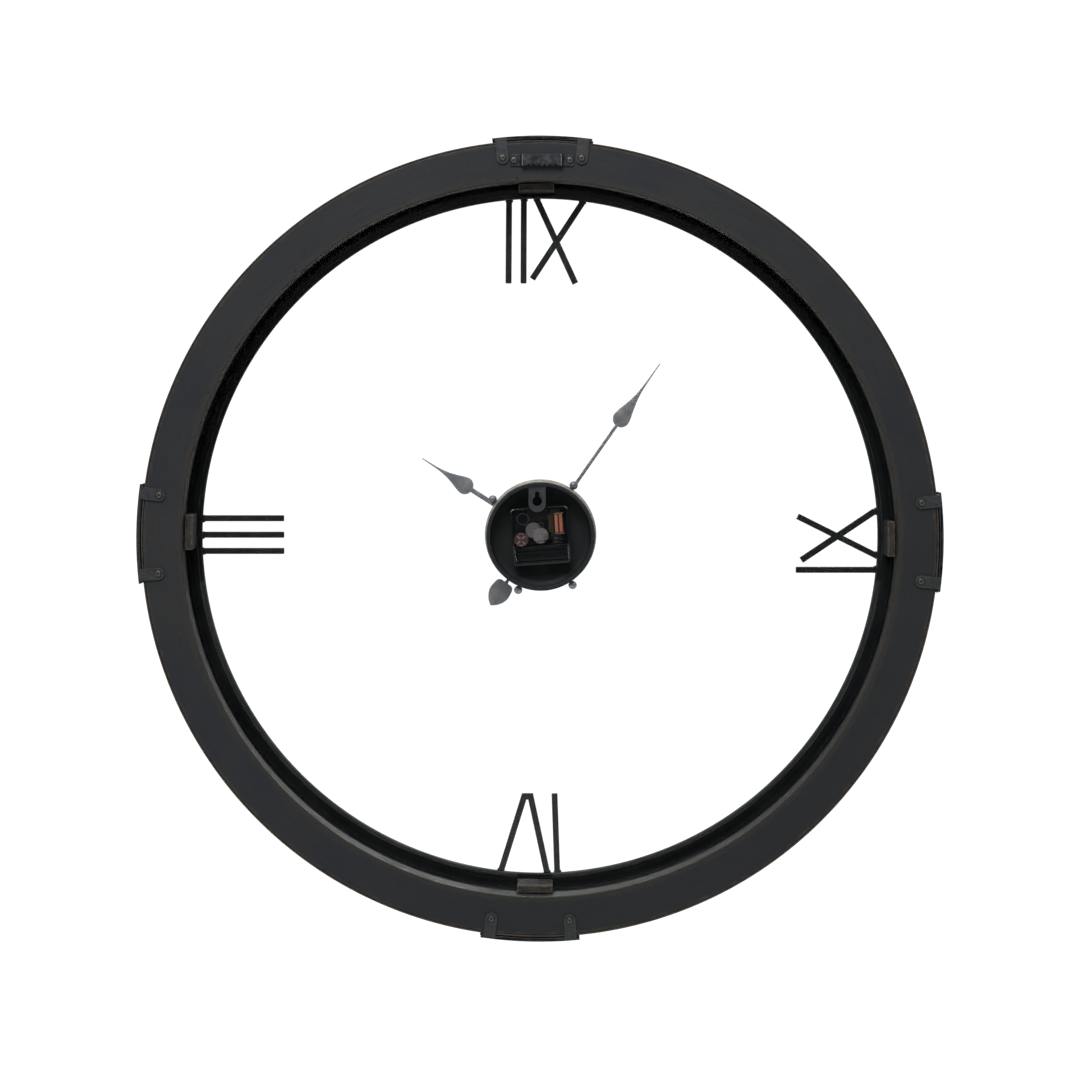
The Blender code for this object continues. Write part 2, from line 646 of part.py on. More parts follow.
def train_wheel(name, place, wheel, pinion, arbor_ends, arbor_radius=ARBOR_RADIUS, finish="wheel"):
    """A wheel and its pinion on one arbor. Each gear is (teeth, module, tooth angle, front, back)."""
    gears = [gear for gear in (wheel, pinion) if gear]
    teeth, module, angle, front, back = gears[0]
    outline = gear_outline(teeth, module, angle)
    part = flat_part(name, [outline], front, back, FINISHES[finish], MOVEMENT, place)
    for teeth, module, angle, front, back in gears[1:]:
        outline = gear_outline(teeth, module, angle)
        other = flat_part("pinion", [outline], front, back, FINISHES[finish], MOVEMENT, place)
        combine(part, other, "UNION")
    profile = arbor_profile(arbor_radius, *arbor_ends)
    arbor = turned_part("arbor", profile, FINISHES[finish], MOVEMENT, 12, place)
    combine(part, arbor, "UNION")
    return part


def make_motion_work():
    """Minute arbor, transfer wheel, hour wheel and setting wheel: twelve to one, and the setting knob."""
    module = 2 * MOTION_DISTANCE / (CANNON_TEETH + TRANSFER_TEETH)
    hub = (0.0, 0.0)
    cannon = (CANNON_TEETH, module, meshing_angle(hub, TRANSFER_PLACE, None), -0.0097, -0.0086)
    arbor_ends = (MINUTE_HAND_FRONT - 0.0024, -0.0061)
    train_wheel("minute_arbor", hub, cannon, None, arbor_ends, MINUTE_ARBOR_RADIUS, "steel")
    wheel = (TRANSFER_TEETH, module, meshing_angle(TRANSFER_PLACE, hub, TRANSFER_TEETH), -0.0096, -0.0088)
    pinion = (TRANSFER_PINION_TEETH, module, meshing_angle(TRANSFER_PLACE, hub, None), -0.0111, -0.0095)
    train_wheel("transfer_wheel", TRANSFER_PLACE, wheel, pinion, (-0.0121, -0.0078))

    hour_gear = gear_outline(HOUR_TEETH, module, meshing_angle(hub, TRANSFER_PLACE, HOUR_TEETH))
    bore = circle(TUBE_BORE_RADIUS, 24)
    hour_wheel = flat_part("hour_wheel", [hour_gear, circle(TUBE_RADIUS - GAP, 24)], -0.0110, -0.0100,
                           FINISHES["wheel"], MOVEMENT)
    tube = flat_part("hour_tube", [circle(TUBE_RADIUS, 24), bore], HOUR_HAND_FRONT - 0.0004, -0.0099,
                     FINISHES["wheel"], MOVEMENT)
    combine(hour_wheel, tube, "UNION")

    set_tooth = set_pinion_angle(module)
    set_gear = (SET_TEETH, module, set_tooth, -0.0097, -0.0086)
    arbor_ends = (-0.0122, KNOB_FRONT + GAP)
    set_wheel = train_wheel("set_wheel", SET_PLACE, set_gear, None, arbor_ends, SET_ARBOR_RADIUS, "knob")
    knob_profile = [
        (0.0, KNOB_BACK),
        (KNOB_RADIUS - 0.0012, KNOB_BACK),
        (KNOB_RADIUS, KNOB_BACK - 0.0006),
        (KNOB_RADIUS, KNOB_FRONT),
        (0.0, KNOB_FRONT),
    ]
    knob = turned_part("knob", knob_profile, FINISHES["knob"], MOVEMENT, 24, SET_PLACE)
    combine(set_wheel, knob, "UNION")


def set_pinion_angle(module):
    """The tooth angle that puts a tooth of the setting pinion in a valley of the transfer wheel."""
    transfer_tooth = meshing_angle(TRANSFER_PLACE, (0.0, 0.0), TRANSFER_TEETH)
    to_set = meshing_angle(TRANSFER_PLACE, SET_PLACE, None)
    pitch = 2 * math.pi / TRANSFER_TEETH
    past_tooth = (to_set - transfer_tooth) % pitch
    back_to_transfer = to_set + math.pi
    return back_to_transfer + (past_tooth - pitch / 2) * TRANSFER_TEETH / SET_TEETH


def make_going_train():
    """Rotor to intermediate, seconds, third and minute wheels: 4, 7.5, 8 and 7.5 to one."""
    hub = (0.0, 0.0)
    minute_module = 2 * TRAIN_DISTANCE / (TRAIN_PINION_TEETH + MINUTE_TEETH)
    third_module = 2 * TRAIN_DISTANCE / (TRAIN_PINION_TEETH + THIRD_TEETH)
    seconds_module = 2 * TRAIN_DISTANCE / (TRAIN_PINION_TEETH + SECONDS_TEETH)
    rotor_module = 2 * ROTOR_DISTANCE / (ROTOR_TEETH + INTERMEDIATE_TEETH)

    minute_gear = gear_outline(MINUTE_TEETH, minute_module, meshing_angle(hub, THIRD_PLACE, MINUTE_TEETH))
    flat_part("minute_wheel", [minute_gear, circle(TUBE_BORE_RADIUS, 20)], -0.0070, -0.0063,
              FINISHES["wheel"], MOVEMENT)

    arbor_ends = (-0.0080, 0.0022)
    angle = meshing_angle(THIRD_PLACE, hub, THIRD_TEETH)
    wheel = (THIRD_TEETH, third_module, angle, -0.0057, -0.0050)
    angle = meshing_angle(THIRD_PLACE, hub, None)
    pinion = (TRAIN_PINION_TEETH, minute_module, angle, -0.0072, -0.0056)
    train_wheel("third_wheel", THIRD_PLACE, wheel, pinion, arbor_ends)

    angle = meshing_angle(hub, INTERMEDIATE_PLACE, SECONDS_TEETH)
    wheel = (SECONDS_TEETH, seconds_module, angle, -0.0043, -0.0036)
    angle = meshing_angle(hub, THIRD_PLACE, None)
    pinion = (TRAIN_PINION_TEETH, third_module, angle, -0.0058, -0.0042)
    train_wheel("seconds_wheel", hub, wheel, pinion, (-0.0060, 0.0022))

    angle = meshing_angle(INTERMEDIATE_PLACE, ROTOR_PLACE, INTERMEDIATE_TEETH)
    wheel = (INTERMEDIATE_TEETH, rotor_module, angle, -0.0029, -0.0022)
    angle = meshing_angle(INTERMEDIATE_PLACE, hub, None)
    pinion = (TRAIN_PINION_TEETH, seconds_module, angle, -0.0045, -0.0028)
    train_wheel("intermediate_wheel", INTERMEDIATE_PLACE, wheel, pinion, arbor_ends)

    angle = meshing_angle(ROTOR_PLACE, INTERMEDIATE_PLACE, None)
    wheel = (ROTOR_TEETH, rotor_module, angle, -0.0032, -0.0019)
    rotor = train_wheel("rotor", ROTOR_PLACE, wheel, None, arbor_ends, finish="rotor")
    magnet_profile = arbor_profile(0.0026, -0.0070, -0.0045)
    magnet = turned_part("magnet", magnet_profile, FINISHES["rotor"], MOVEMENT, 16, ROTOR_PLACE)
    combine(rotor, magnet, "UNION")


def make_motor():
    """The stator's leg and core join at the top, with the rotor's hole below and the coil on the core."""
    core_left, core_right = 0.0174, 0.0206
    leg_left, leg_right = ROTOR_PLACE[0] - 0.0043, ROTOR_PLACE[0] - 0.0017
    foot_bottom, foot_top = CHAMBER_BOTTOM + 0.0004, 0.0
    outline = [
        (leg_left, foot_bottom),
        (0.0212, foot_bottom),
        (0.0212, foot_top - 0.0008),
        (core_right, foot_top),
        (core_right, 0.0250),
        (leg_left, 0.0250),
    ]
    window = [(leg_right, foot_top), (core_left, foot_top), (core_left, 0.0222), (leg_right, 0.0222)]
    stator = flat_part("stator", [outline, window], -0.0062, -0.0052, FINISHES["steel"], MOVEMENT)
    pole_circle = circle(0.0032, 16, ROTOR_PLACE)
    pole = flat_part("pole_hole", [pole_circle], -0.0065, -0.0049, FINISHES["steel"], MOVEMENT)
    combine(stator, pole, "DIFFERENCE")

    coil_left, coil_right = 0.0145, 0.0235
    coil = flat_part("coil", [rounded_rectangle(coil_left, 0.0008, coil_right, 0.0214, 0.0008, 3)],
                     -0.0073, -0.0010, FINISHES["copper"], MOVEMENT)
    tunnel_left, tunnel_right = core_left - GAP, core_right + GAP
    tunnel = [(tunnel_left, 0.0), (tunnel_right, 0.0), (tunnel_right, 0.0230), (tunnel_left, 0.0230)]
    sleeve = flat_part("sleeve", [tunnel], -0.0062 - GAP, -0.0052 + GAP, FINISHES["copper"], MOVEMENT)
    combine(coil, sleeve, "DIFFERENCE")

    board = rounded_rectangle(-0.0120, 0.0146, 0.0090, 0.0260, 0.0008, 3)
    flat_part("circuit_board", [board], -0.0072, -0.0062, FINISHES["circuit"], MOVEMENT)


def make_battery_contacts():
    """Two folded strips that stand at the ends of the empty battery bay."""
    sheet = 0.0004
    wall = MOVEMENT_HALF - MOVEMENT_WALL - GAP
    low, middle, high = -0.0245, -0.0187, -0.0120
    plain = [(wall - sheet, low), (wall, low), (wall, high), (wall - sheet, high)]
    lean = 0.0012
    spring = [(-wall, high), (-wall, middle), (-wall + lean, low), (-wall + lean + sheet, low),
              (-wall + sheet, middle), (-wall + sheet, high)]
    flat_part("battery_contact_plus", [plain], -0.0090, 0.0008, FINISHES["contact"], MOVEMENT)
    flat_part("battery_contact_minus", [spring], -0.0090, 0.0008, FINISHES["contact"], MOVEMENT)


def spade_outline(tip, blade_start, widest, base, blade_width, stem_width, hub_width, hub_radius):
    """Right-hand half of a spade hand, from the tip down to the hub."""
    half = blade_width / 2
    swell = [(0.0006, tip), (0.0011, blade_start)]
    for share, width in ((0.35, 0.30), (0.65, 0.62), (0.85, 0.88)):
        swell.append((half * width, blade_start + (widest - blade_start) * share))
    swell.append((half, widest))
    for share, width in ((0.40, 0.93), (0.75, 0.68), (0.95, 0.34)):
        swell.append((half * width, widest + (base - widest) * share))
    swell.append((stem_width / 2, base - 0.0004))
    swell.append((hub_width / 2, math.sqrt(hub_radius ** 2 - hub_width ** 2 / 4)))
    return swell


def leaf_tail(neck, widest, end, width, stem_width):
    """Right-hand half of the leaf at the far end of the minute hand, from its stem to its point."""
    half = width / 2
    points = [(stem_width / 2, -neck + 0.0010)]
    for share, part in ((0.10, 0.55), (0.30, 0.86)):
        points.append((half * part, -neck - (widest - neck) * share))
    points.append((half, -widest))
    for share, part in ((0.35, 0.90), (0.70, 0.58), (0.90, 0.26)):
        points.append((half * part, -widest - (end - widest) * share))
    points.append((0.0004, -end))
    return points


def make_hand(name, half_outline, hole_radius, front, angle):
    """A flat hand, drawn as its right-hand half and mirrored, on its own boss."""
    outline = half_outline + [(-x, y) for x, y in reversed(half_outline)]
    bore = circle(hole_radius, 20)
    flat_part(name, [outline, bore], front, front + HAND_THICKNESS, FINISHES["pewter"], AXIS, turn=angle)


def hub_arc(radius, start_width, end_width, count=7):
    """The right-hand side of a hub, between the stem above it and the stem or the middle line below it."""
    start = math.pi / 2 - math.asin(start_width / 2 / radius)
    end = -math.pi / 2 + math.asin(end_width / 2 / radius)
    return arc(radius, start, end, count)


def make_hands():
    hour = spade_outline(0.1412, 0.1224, 0.0906, 0.0819, 0.0175, 0.0048, 0.0058, 0.0070)
    hour += hub_arc(0.0070, 0.0058, 0.0010)[1:]
    make_hand("hour_hand", hour, TUBE_RADIUS + 0.00015, HOUR_HAND_FRONT, HOUR_HAND_ANGLE)
    minute = spade_outline(0.2090, 0.1806, 0.1419, 0.1328, 0.0171, 0.0033, 0.0042, 0.0060)
    minute += hub_arc(0.0060, 0.0042, 0.0042)[1:]
    minute += leaf_tail(0.0590, 0.0715, 0.0880, 0.0212, 0.0030)
    make_hand("minute_hand", minute, MINUTE_ARBOR_RADIUS + 0.00015, MINUTE_HAND_FRONT, MINUTE_HAND_ANGLE)
    cap = [
        (0.0, CAP_FRONT),
        (0.0022, CAP_FRONT + 0.0004),
        (0.0034, CAP_FRONT + 0.0016),
        (0.0036, MINUTE_HAND_FRONT - GAP),
        (MINUTE_ARBOR_RADIUS + 0.00015, MINUTE_HAND_FRONT - GAP),
        (MINUTE_ARBOR_RADIUS + 0.00015, MINUTE_HAND_FRONT - 0.0027),
        (0.0, MINUTE_HAND_FRONT - 0.0027),
    ]
    turned_part("hand_cap_nut", cap[::-1], FINISHES["brass"], AXIS, 16)


def transfer_place():
    """The point one motion distance from both the bush axis and the setting arbor, on the upper side."""
    span = math.hypot(*SET_PLACE)
    rise = math.sqrt(MOTION_DISTANCE ** 2 - (span / 2) ** 2)
    along = (SET_PLACE[0] / span, SET_PLACE[1] / span)
    return (SET_PLACE[0] / 2 + along[1] * rise, SET_PLACE[1] / 2 - along[0] * rise)


def main():
    make_case()
    make_glass()
    make_glass_blocks()
    make_straps()
    make_case_screws()
    make_hanger()
    make_numerals()
    make_pod()
    make_movement_case()
    make_movement_plates()
    make_bush_nut()
    make_motion_work()
    make_going_train()
    make_motor()
    make_battery_contacts()
    make_hands()
    for obj in list(PARTS.objects):
        if obj.type == "MESH":
            shade(obj)


for old in list(bpy.data.objects):
    bpy.data.objects.remove(old, do_unlink=True)

PARTS = new_collection("wall_clock")
CUTTERS = new_collection("cutters")

# Turn of each quarter from twelve o'clock, seen from behind, and how far each piece sits off it along the rim
CLOCK_POINTS = {
    "blocks": {"12": (0.0, -0.0037), "3": (90.0, 0.0074), "6": (180.0, 0.0051), "9": (270.0, -0.0008)},
    "straps": {"12": (0.0, 0.0022), "3": (90.0, 0.0066), "6": (180.0, 0.0098), "9": (270.0, 0.0015)},
}
TRANSFER_PLACE = transfer_place()
THIRD_PLACE = polar(TRAIN_DISTANCE, THIRD_ANGLE)
INTERMEDIATE_PLACE = polar(TRAIN_DISTANCE, INTERMEDIATE_ANGLE)
ROTOR_PLACE = polar(ROTOR_DISTANCE, ROTOR_ANGLE, INTERMEDIATE_PLACE)

FINISHES = {
    "case_steel": new_finish("case_steel", (0.030, 0.034, 0.038), 0.55, 0.6),
    "board": new_finish("board", (0.036, 0.037, 0.039), 0.65, 0.0),
    "glass": new_finish("glass", (0.90, 0.95, 0.93), 0.03, 0.0, 0.15),
    "block": new_finish("block", (0.040, 0.036, 0.030), 0.75, 0.0),
    "strap": new_finish("strap", (0.030, 0.033, 0.036), 0.50, 0.7),
    "screw": new_finish("screw", (0.045, 0.036, 0.028), 0.50, 0.7),
    "hanger": new_finish("hanger", (0.028, 0.036, 0.044), 0.35, 0.8),
    "bar": new_finish("bar", (0.018, 0.019, 0.019), 0.50, 0.6),
    "pod_base": new_finish("pod_base", (0.33, 0.31, 0.27), 0.45, 0.5),
    "pod_cup": new_finish("pod_cup", (0.016, 0.018, 0.018), 0.40, 0.3),
    "pod_tab": new_finish("pod_tab", (0.050, 0.050, 0.050), 0.45, 0.5),
    "zinc": new_finish("zinc", (0.45, 0.50, 0.52), 0.30, 0.9),
    "brass": new_finish("brass", (0.62, 0.45, 0.18), 0.30, 1.0),
    "movement_case": new_finish("movement_case", (0.012, 0.013, 0.014), 0.35, 0.0),
    "smoked_cover": new_finish("smoked_cover", (0.05, 0.055, 0.06), 0.12, 0.0, 0.35),
    "wheel": new_finish("wheel", (0.62, 0.58, 0.54), 0.45, 0.0),
    "knob": new_finish("knob", (0.070, 0.025, 0.020), 0.40, 0.0),
    "rotor": new_finish("rotor", (0.30, 0.22, 0.20), 0.35, 0.4),
    "steel": new_finish("steel", (0.40, 0.41, 0.42), 0.30, 1.0),
    "copper": new_finish("copper", (0.50, 0.20, 0.12), 0.35, 0.7),
    "circuit": new_finish("circuit", (0.030, 0.060, 0.030), 0.50, 0.0),
    "contact": new_finish("contact", (0.70, 0.71, 0.72), 0.25, 1.0),
    "pewter": new_finish("pewter", (0.13, 0.135, 0.145), 0.40, 0.9),
}

CLOCK = new_empty("clock_seen_from_behind", location=(0.0, DEPTH_SHIFT, 0.0),
                  rotation=(math.pi / 2, 0.0, math.pi))
AXIS = new_empty("hand_axis", CLOCK, (AXIS_X, AXIS_Y, 0.0))
MOVEMENT = new_empty("movement", AXIS, rotation=(0.0, 0.0, MOVEMENT_TURN))

main()
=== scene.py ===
import json
import math
import random

import bmesh
import bpy
from mathutils import Matrix, Vector, noise


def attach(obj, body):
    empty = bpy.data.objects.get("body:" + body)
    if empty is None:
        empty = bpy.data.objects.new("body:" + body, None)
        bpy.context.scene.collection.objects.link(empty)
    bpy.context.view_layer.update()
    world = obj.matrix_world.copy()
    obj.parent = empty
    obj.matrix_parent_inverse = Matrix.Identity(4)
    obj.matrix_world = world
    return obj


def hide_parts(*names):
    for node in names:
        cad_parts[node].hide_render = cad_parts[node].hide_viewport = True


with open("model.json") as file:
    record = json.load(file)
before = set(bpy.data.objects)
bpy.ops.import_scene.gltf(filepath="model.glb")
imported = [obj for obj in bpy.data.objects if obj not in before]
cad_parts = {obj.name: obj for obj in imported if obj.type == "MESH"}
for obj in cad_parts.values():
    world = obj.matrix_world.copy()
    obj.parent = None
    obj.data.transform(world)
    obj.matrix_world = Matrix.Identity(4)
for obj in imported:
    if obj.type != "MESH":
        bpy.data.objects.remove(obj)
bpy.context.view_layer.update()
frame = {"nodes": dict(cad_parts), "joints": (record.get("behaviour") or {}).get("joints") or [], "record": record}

BEHIND = Matrix(((-1, 0, 0, 0), (0, 0, 1, 0), (0, 1, 0, 0), (0, 0, 0, 1)))
HOURS = ("12", "3", "6", "9")
MOVEMENT_TURN = math.radians(4.0)
SHARP = math.radians(40.0)
RIM_STEPS = 288

SCREW_HEAD = 0.0034
ARBOR_HOLE = 0.0052
CUP_WALL = 0.0012
MOVEMENT_HALF = 0.0282

CAMERA_DISTANCE = 2.158
CAMERA_HEIGHT = 0.15
CAMERA_TILT = math.radians(1.73)
CAMERA_FOCAL = 2201.0 / 1080.0
SENSOR = 36.0
FLOOR_LEVEL = -1.1
FLOOR_REACH = 12.0
WHITE = (1.0, 1.0, 1.0, 1.0)

random.seed(12)

BODY_OF = {node: body for body, nodes in frame["record"]["behaviour"]["bodies"].items() for node in nodes}
SLOT_OF = {part["node"]: part["material_slot"] for part in frame["record"]["subparts"]}
JOINTS = {joint["name"]: joint for joint in frame["joints"]}


# ---- places, read from the frame

def drawn(point):
    """A point of the row frame, as the clock looks from behind."""
    return Vector((-point[0], point[2], point[1]))


def points_of(node):
    return [drawn(vertex.co) for vertex in frame["nodes"][node].data.vertices]


def span(node):
    """Lowest and highest corner of a node, as the clock looks from behind."""
    points = points_of(node)
    return (Vector([min(p[i] for p in points) for i in range(3)]),
            Vector([max(p[i] for p in points) for i in range(3)]))


def levels(values):
    """The distinct values among many, to a hundredth of a millimetre, from the lowest to the highest."""
    found = []
    for value in sorted(values):
        if not found or value - found[-1] > 1e-5:
            found.append(value)
    return found


def turned_levels(node, centre=(0.0, 0.0)):
    """The radii and the depths at which a turned node has its corners."""
    points = points_of(node)
    middle = Vector(centre)
    return levels((p.xy - middle).length for p in points), levels(p.z for p in points)


def joint_place(name):
    return drawn(JOINTS[name]["pos_m"]).xy


AXIS = joint_place("minute_turn")
RIM = turned_levels("front_case")[0][-1]


# ---- finishes

class Graph:
    """A material's node tree, with short calls for the nodes that the finishes use."""

    def __init__(self, name, **uniform):
        self.material = bpy.data.materials.new(name)
        self.material.use_nodes = True
        self.tree = self.material.node_tree
        self.shader = self.tree.nodes["Principled BSDF"]
        self.place = self.add("TexCoord").outputs["Object"]
        for socket, value in uniform.items():
            self.shader.inputs[socket.replace("_", " ")].default_value = value

    def add(self, kind, inputs=None, **settings):
        made = self.tree.nodes.new("ShaderNode" + kind)
        for name, value in settings.items():
            setattr(made, name, value)
        for key, value in (inputs or {}).items():
            if isinstance(value, bpy.types.NodeSocket):
                self.tree.links.new(value, made.inputs[key])
            else:
                made.inputs[key].default_value = value
        return made

    def paint(self, **sockets):
        for name, value in sockets.items():
            self.tree.links.new(value, self.shader.inputs[name.replace("_", " ")])

    def noise(self, scale, detail=4.0, roughness=0.6, place=None):
        inputs = {"Vector": place or self.place, "Scale": scale, "Detail": detail, "Roughness": roughness}
        return self.add("TexNoise", inputs).outputs[0]

    def math(self, operation, first, second=0.0):
        return self.add("Math", {0: first, 1: second}, operation=operation).outputs[0]

    def stretched(self, x, y, z, turn=0.0):
        inputs = {"Vector": self.place, "Scale": (x, y, z), "Rotation": (0.0, 0.0, turn)}
        return self.add("Mapping", inputs).outputs[0]

    def between(self, value, low, high, to_low=0.0, to_high=1.0):
        inputs = {"Value": value, "From Min": low, "From Max": high, "To Min": to_low, "To Max": to_high}
        return self.add("MapRange", inputs, interpolation_type="SMOOTHSTEP").outputs[0]

    def mix(self, share, first, second):
        made = self.add("Mix", {0: share}, data_type="RGBA")
        for index, value in ((6, first), (7, second)):
            if isinstance(value, bpy.types.NodeSocket):
                self.tree.links.new(value, made.inputs[index])
            else:
                made.inputs[index].default_value = (*value, 1.0)
        return made.outputs[2]

    def wear(self):
        return self.add("Attribute", attribute_name="wear").outputs["Fac"]

    def bump(self, height, distance, strength=1.0):
        inputs = {"Height": height, "Distance": distance, "Strength": strength}
        return self.add("Bump", inputs).outputs[0]

    def radius(self):
        flat = self.add("VectorMath", {0: self.place, 1: (1.0, 1.0, 0.0)}, operation="MULTIPLY").outputs[0]
        return self.add("VectorMath", {0: flat}, operation="LENGTH").outputs["Value"]

    def around(self, along, across):
        """Coordinates that run round the axis, for marks left by handling a ring."""
        parts = self.add("SeparateXYZ", {0: self.place})
        angle = self.math("ARCTAN2", parts.outputs[1], parts.outputs[0])
        inputs = {0: self.math("MULTIPLY", angle, along), 1: self.math("MULTIPLY", self.radius(), across),
                  2: self.math("MULTIPLY", parts.outputs[2], across)}
        return self.add("CombineXYZ", inputs).outputs[0]


def worn(name, dark, light, worn_colour, roughness, metallic=0.0, wear=0.5, patch=60.0, grain=900.0,
         depth=0.00002, shine=0.5):
    """Painted or blackened metal and plastic: cloudy colour, fine grain, and lighter, smoother edges."""
    graph = Graph(name, Metallic=metallic, Specular_IOR_Level=shine)
    cloud = graph.between(graph.noise(patch), 0.35, 0.68)
    fine = graph.noise(grain, 3.0)
    colour = graph.mix(cloud, dark, light)
    colour = graph.mix(graph.between(fine, 0.45, 0.75, 0.0, 0.35), colour, light)
    rubbed = graph.between(graph.noise(patch * 5.0, 5.0, 0.7), 0.62 - wear * 0.4, 0.72)
    rub = graph.math("MULTIPLY", graph.wear(), rubbed)
    graph.paint(Base_Color=graph.mix(rub, colour, worn_colour))
    smooth = graph.noise(patch * 2.0)
    graph.paint(Roughness=graph.between(smooth, 0.3, 0.7, roughness - 0.08, roughness + 0.1))
    graph.paint(Normal=graph.bump(graph.math("ADD", fine, graph.math("MULTIPLY", cloud, 0.5)), depth))
    return graph.material


def small(name, dark, light, worn_colour, roughness, metallic=0.0, wear=0.8):
    """The finish of a small moulded or pressed piece, almost without texture."""
    return worn(name, dark, light, worn_colour, roughness, metallic, wear, patch=300.0, depth=0.000004)


def board_finish(inner, outer):
    """Black-painted board: cloudy charcoal, scratched brown along the rim and the inner edge, and painted shade
    darkening it towards the lower right.
    """
    graph = Graph("painted_board", Metallic=0.0, Specular_IOR_Level=0.22)
    parts = graph.add("SeparateXYZ", {0: graph.place})
    streaks = graph.noise(1.0, 6.0, 0.68, graph.around(9.0, 260.0))
    scuffs = graph.noise(1.0, 6.0, 0.75, graph.around(26.0, 900.0))
    cloud = graph.between(graph.noise(7.0, 5.0, 0.62), 0.36, 0.66)
    patch = graph.between(graph.noise(24.0, 6.0, 0.7), 0.4, 0.7)
    colour = graph.mix(cloud, BOARD_BLUE, BOARD_GREY)
    colour = graph.mix(graph.math("MULTIPLY", patch, 0.45), colour, BOARD_BROWN)
    colour = graph.mix(graph.between(streaks, 0.5, 0.72, 0.0, 0.4), colour, BOARD_DARK)
    # Painted shade: the board is darkened towards its lower right, where less light falls.
    painted_shade_slope = graph.math("SUBTRACT", parts.outputs[0], parts.outputs[1])
    colour = graph.mix(graph.between(painted_shade_slope, -0.05, 0.55, 0.0, 0.42), colour, BOARD_DARK)
    ragged = graph.math("SUBTRACT", graph.noise(1.0, 6.0, 0.7, graph.around(40.0, 60.0)), 0.5)
    ragged = graph.math("MULTIPLY", ragged, 0.01)
    edge = graph.math("ADD", graph.radius(), ragged)
    rim = graph.between(edge, outer - 0.0052, outer - 0.0012)
    bore = graph.between(edge, inner + 0.0072, inner + 0.003)
    rim_mark = graph.math("MULTIPLY", rim, graph.between(scuffs, 0.36, 0.6, 0.25, 1.0))
    bore_mark = graph.math("MULTIPLY", bore, graph.between(scuffs, 0.34, 0.62, 0.35, 1.0))
    colour = graph.mix(rim_mark, colour, BOARD_RIM)
    colour = graph.mix(bore_mark, colour, BOARD_BORE)
    specks = graph.between(graph.noise(700.0, 2.0), 0.7, 0.78, 0.0, 0.5)
    colour = graph.mix(specks, colour, BOARD_RIM)
    chips = graph.math("MULTIPLY", bore, graph.between(graph.noise(210.0, 3.0), 0.62, 0.68))
    graph.paint(Base_Color=graph.mix(chips, colour, BOARD_DARK))
    graph.paint(Roughness=graph.between(patch, 0.0, 1.0, 0.52, 0.7))
    height = graph.math("ADD", graph.noise(420.0, 5.0), graph.math("MULTIPLY", streaks, 0.8))
    height = graph.math("SUBTRACT", height, graph.math("MULTIPLY", chips, 1.5))
    graph.paint(Normal=graph.bump(height, 0.00014))
    return graph.material


def case_finish(back_edge):
    """Blackened sheet steel, brown where the hoop's back edge has been rubbed."""
    graph = Graph("blackened_steel", Metallic=0.05, Specular_IOR_Level=0.1)
    cloud = graph.between(graph.noise(16.0, 5.0), 0.34, 0.68)
    streaks = graph.noise(1.0, 5.0, 0.7, graph.around(8.0, 240.0))
    colour = graph.mix(cloud, STEEL_DARK, STEEL_BLUE)
    colour = graph.mix(graph.between(streaks, 0.52, 0.75, 0.0, 0.5), colour, STEEL_BROWN)
    parts = graph.add("SeparateXYZ", {0: graph.place})
    back = graph.between(parts.outputs[2], back_edge - 0.0016, back_edge - 0.0004)
    ragged = graph.between(graph.noise(1.0, 5.0, 0.7, graph.around(30.0, 300.0)), 0.3, 0.55, 0.35, 1.0)
    colour = graph.mix(graph.math("MULTIPLY", back, ragged), colour, STEEL_TAN)
    rub = graph.math("MULTIPLY", graph.wear(), graph.between(streaks, 0.4, 0.62, 0.0, 0.7))
    graph.paint(Base_Color=graph.mix(rub, colour, STEEL_EDGE))
    graph.paint(Roughness=graph.between(cloud, 0.0, 1.0, 0.4, 0.56))
    graph.paint(Normal=graph.bump(graph.math("ADD", graph.noise(300.0, 3.0), streaks), 0.00003))
    return graph.material


def wood_finish(back):
    """Rough-sawn blocks with the grain running askew, darker towards the glass: partly black stain, partly painted
    shade deeper in the recess.
    """
    graph = Graph("sawn_block", Metallic=0.0, Specular_IOR_Level=0.2)
    lines = graph.noise(1.0, 6.0, 0.7, graph.stretched(120.0, 900.0, 400.0, math.radians(28.0)))
    cloud = graph.noise(180.0, 4.0)
    colour = graph.mix(graph.between(lines, 0.38, 0.62), WOOD_DARK, WOOD_LIGHT)
    rub = graph.math("MULTIPLY", graph.wear(), graph.between(cloud, 0.42, 0.6))
    colour = graph.mix(rub, colour, WOOD_EDGE)
    # Darker towards the glass: partly black stain, partly painted shade deeper in the recess.
    depth = graph.add("SeparateXYZ", {0: graph.place}).outputs[2]
    graph.paint(Base_Color=graph.mix(graph.between(depth, back - 0.0015, back - 0.012), colour, STEEL_BLUE))
    graph.paint(Roughness=graph.between(cloud, 0.3, 0.7, 0.7, 0.9))
    graph.paint(Normal=graph.bump(graph.math("ADD", lines, cloud), 0.0003))
    return graph.material


def screw_finish(head):
    """Brown screw heads, with painted shade round their edge and in the driver's cross."""
    graph = Graph("screw_steel", Metallic=0.2, Roughness=0.42)
    cloud = graph.between(graph.noise(700.0), 0.36, 0.66)
    colour = graph.mix(cloud, SCREW_DARK, SCREW_LIGHT)
    rub = graph.math("MULTIPLY", graph.wear(), graph.between(graph.noise(1600.0), 0.4, 0.6))
    colour = graph.mix(rub, colour, SCREW_WORN)
    # Painted shade: dark round the head's edge, where it meets the surface, and in its middle, where the cross is
    # sunk.
    colour = graph.mix(graph.between(graph.radius(), head * 0.68, head * 0.84), colour, STEEL_DARK)
    colour = graph.mix(graph.between(graph.radius(), head * 0.4, head * 0.15), colour, STEEL_DARK)
    graph.paint(Base_Color=colour)
    graph.paint(Normal=graph.bump(graph.noise(2500.0), 0.00004))
    return graph.material


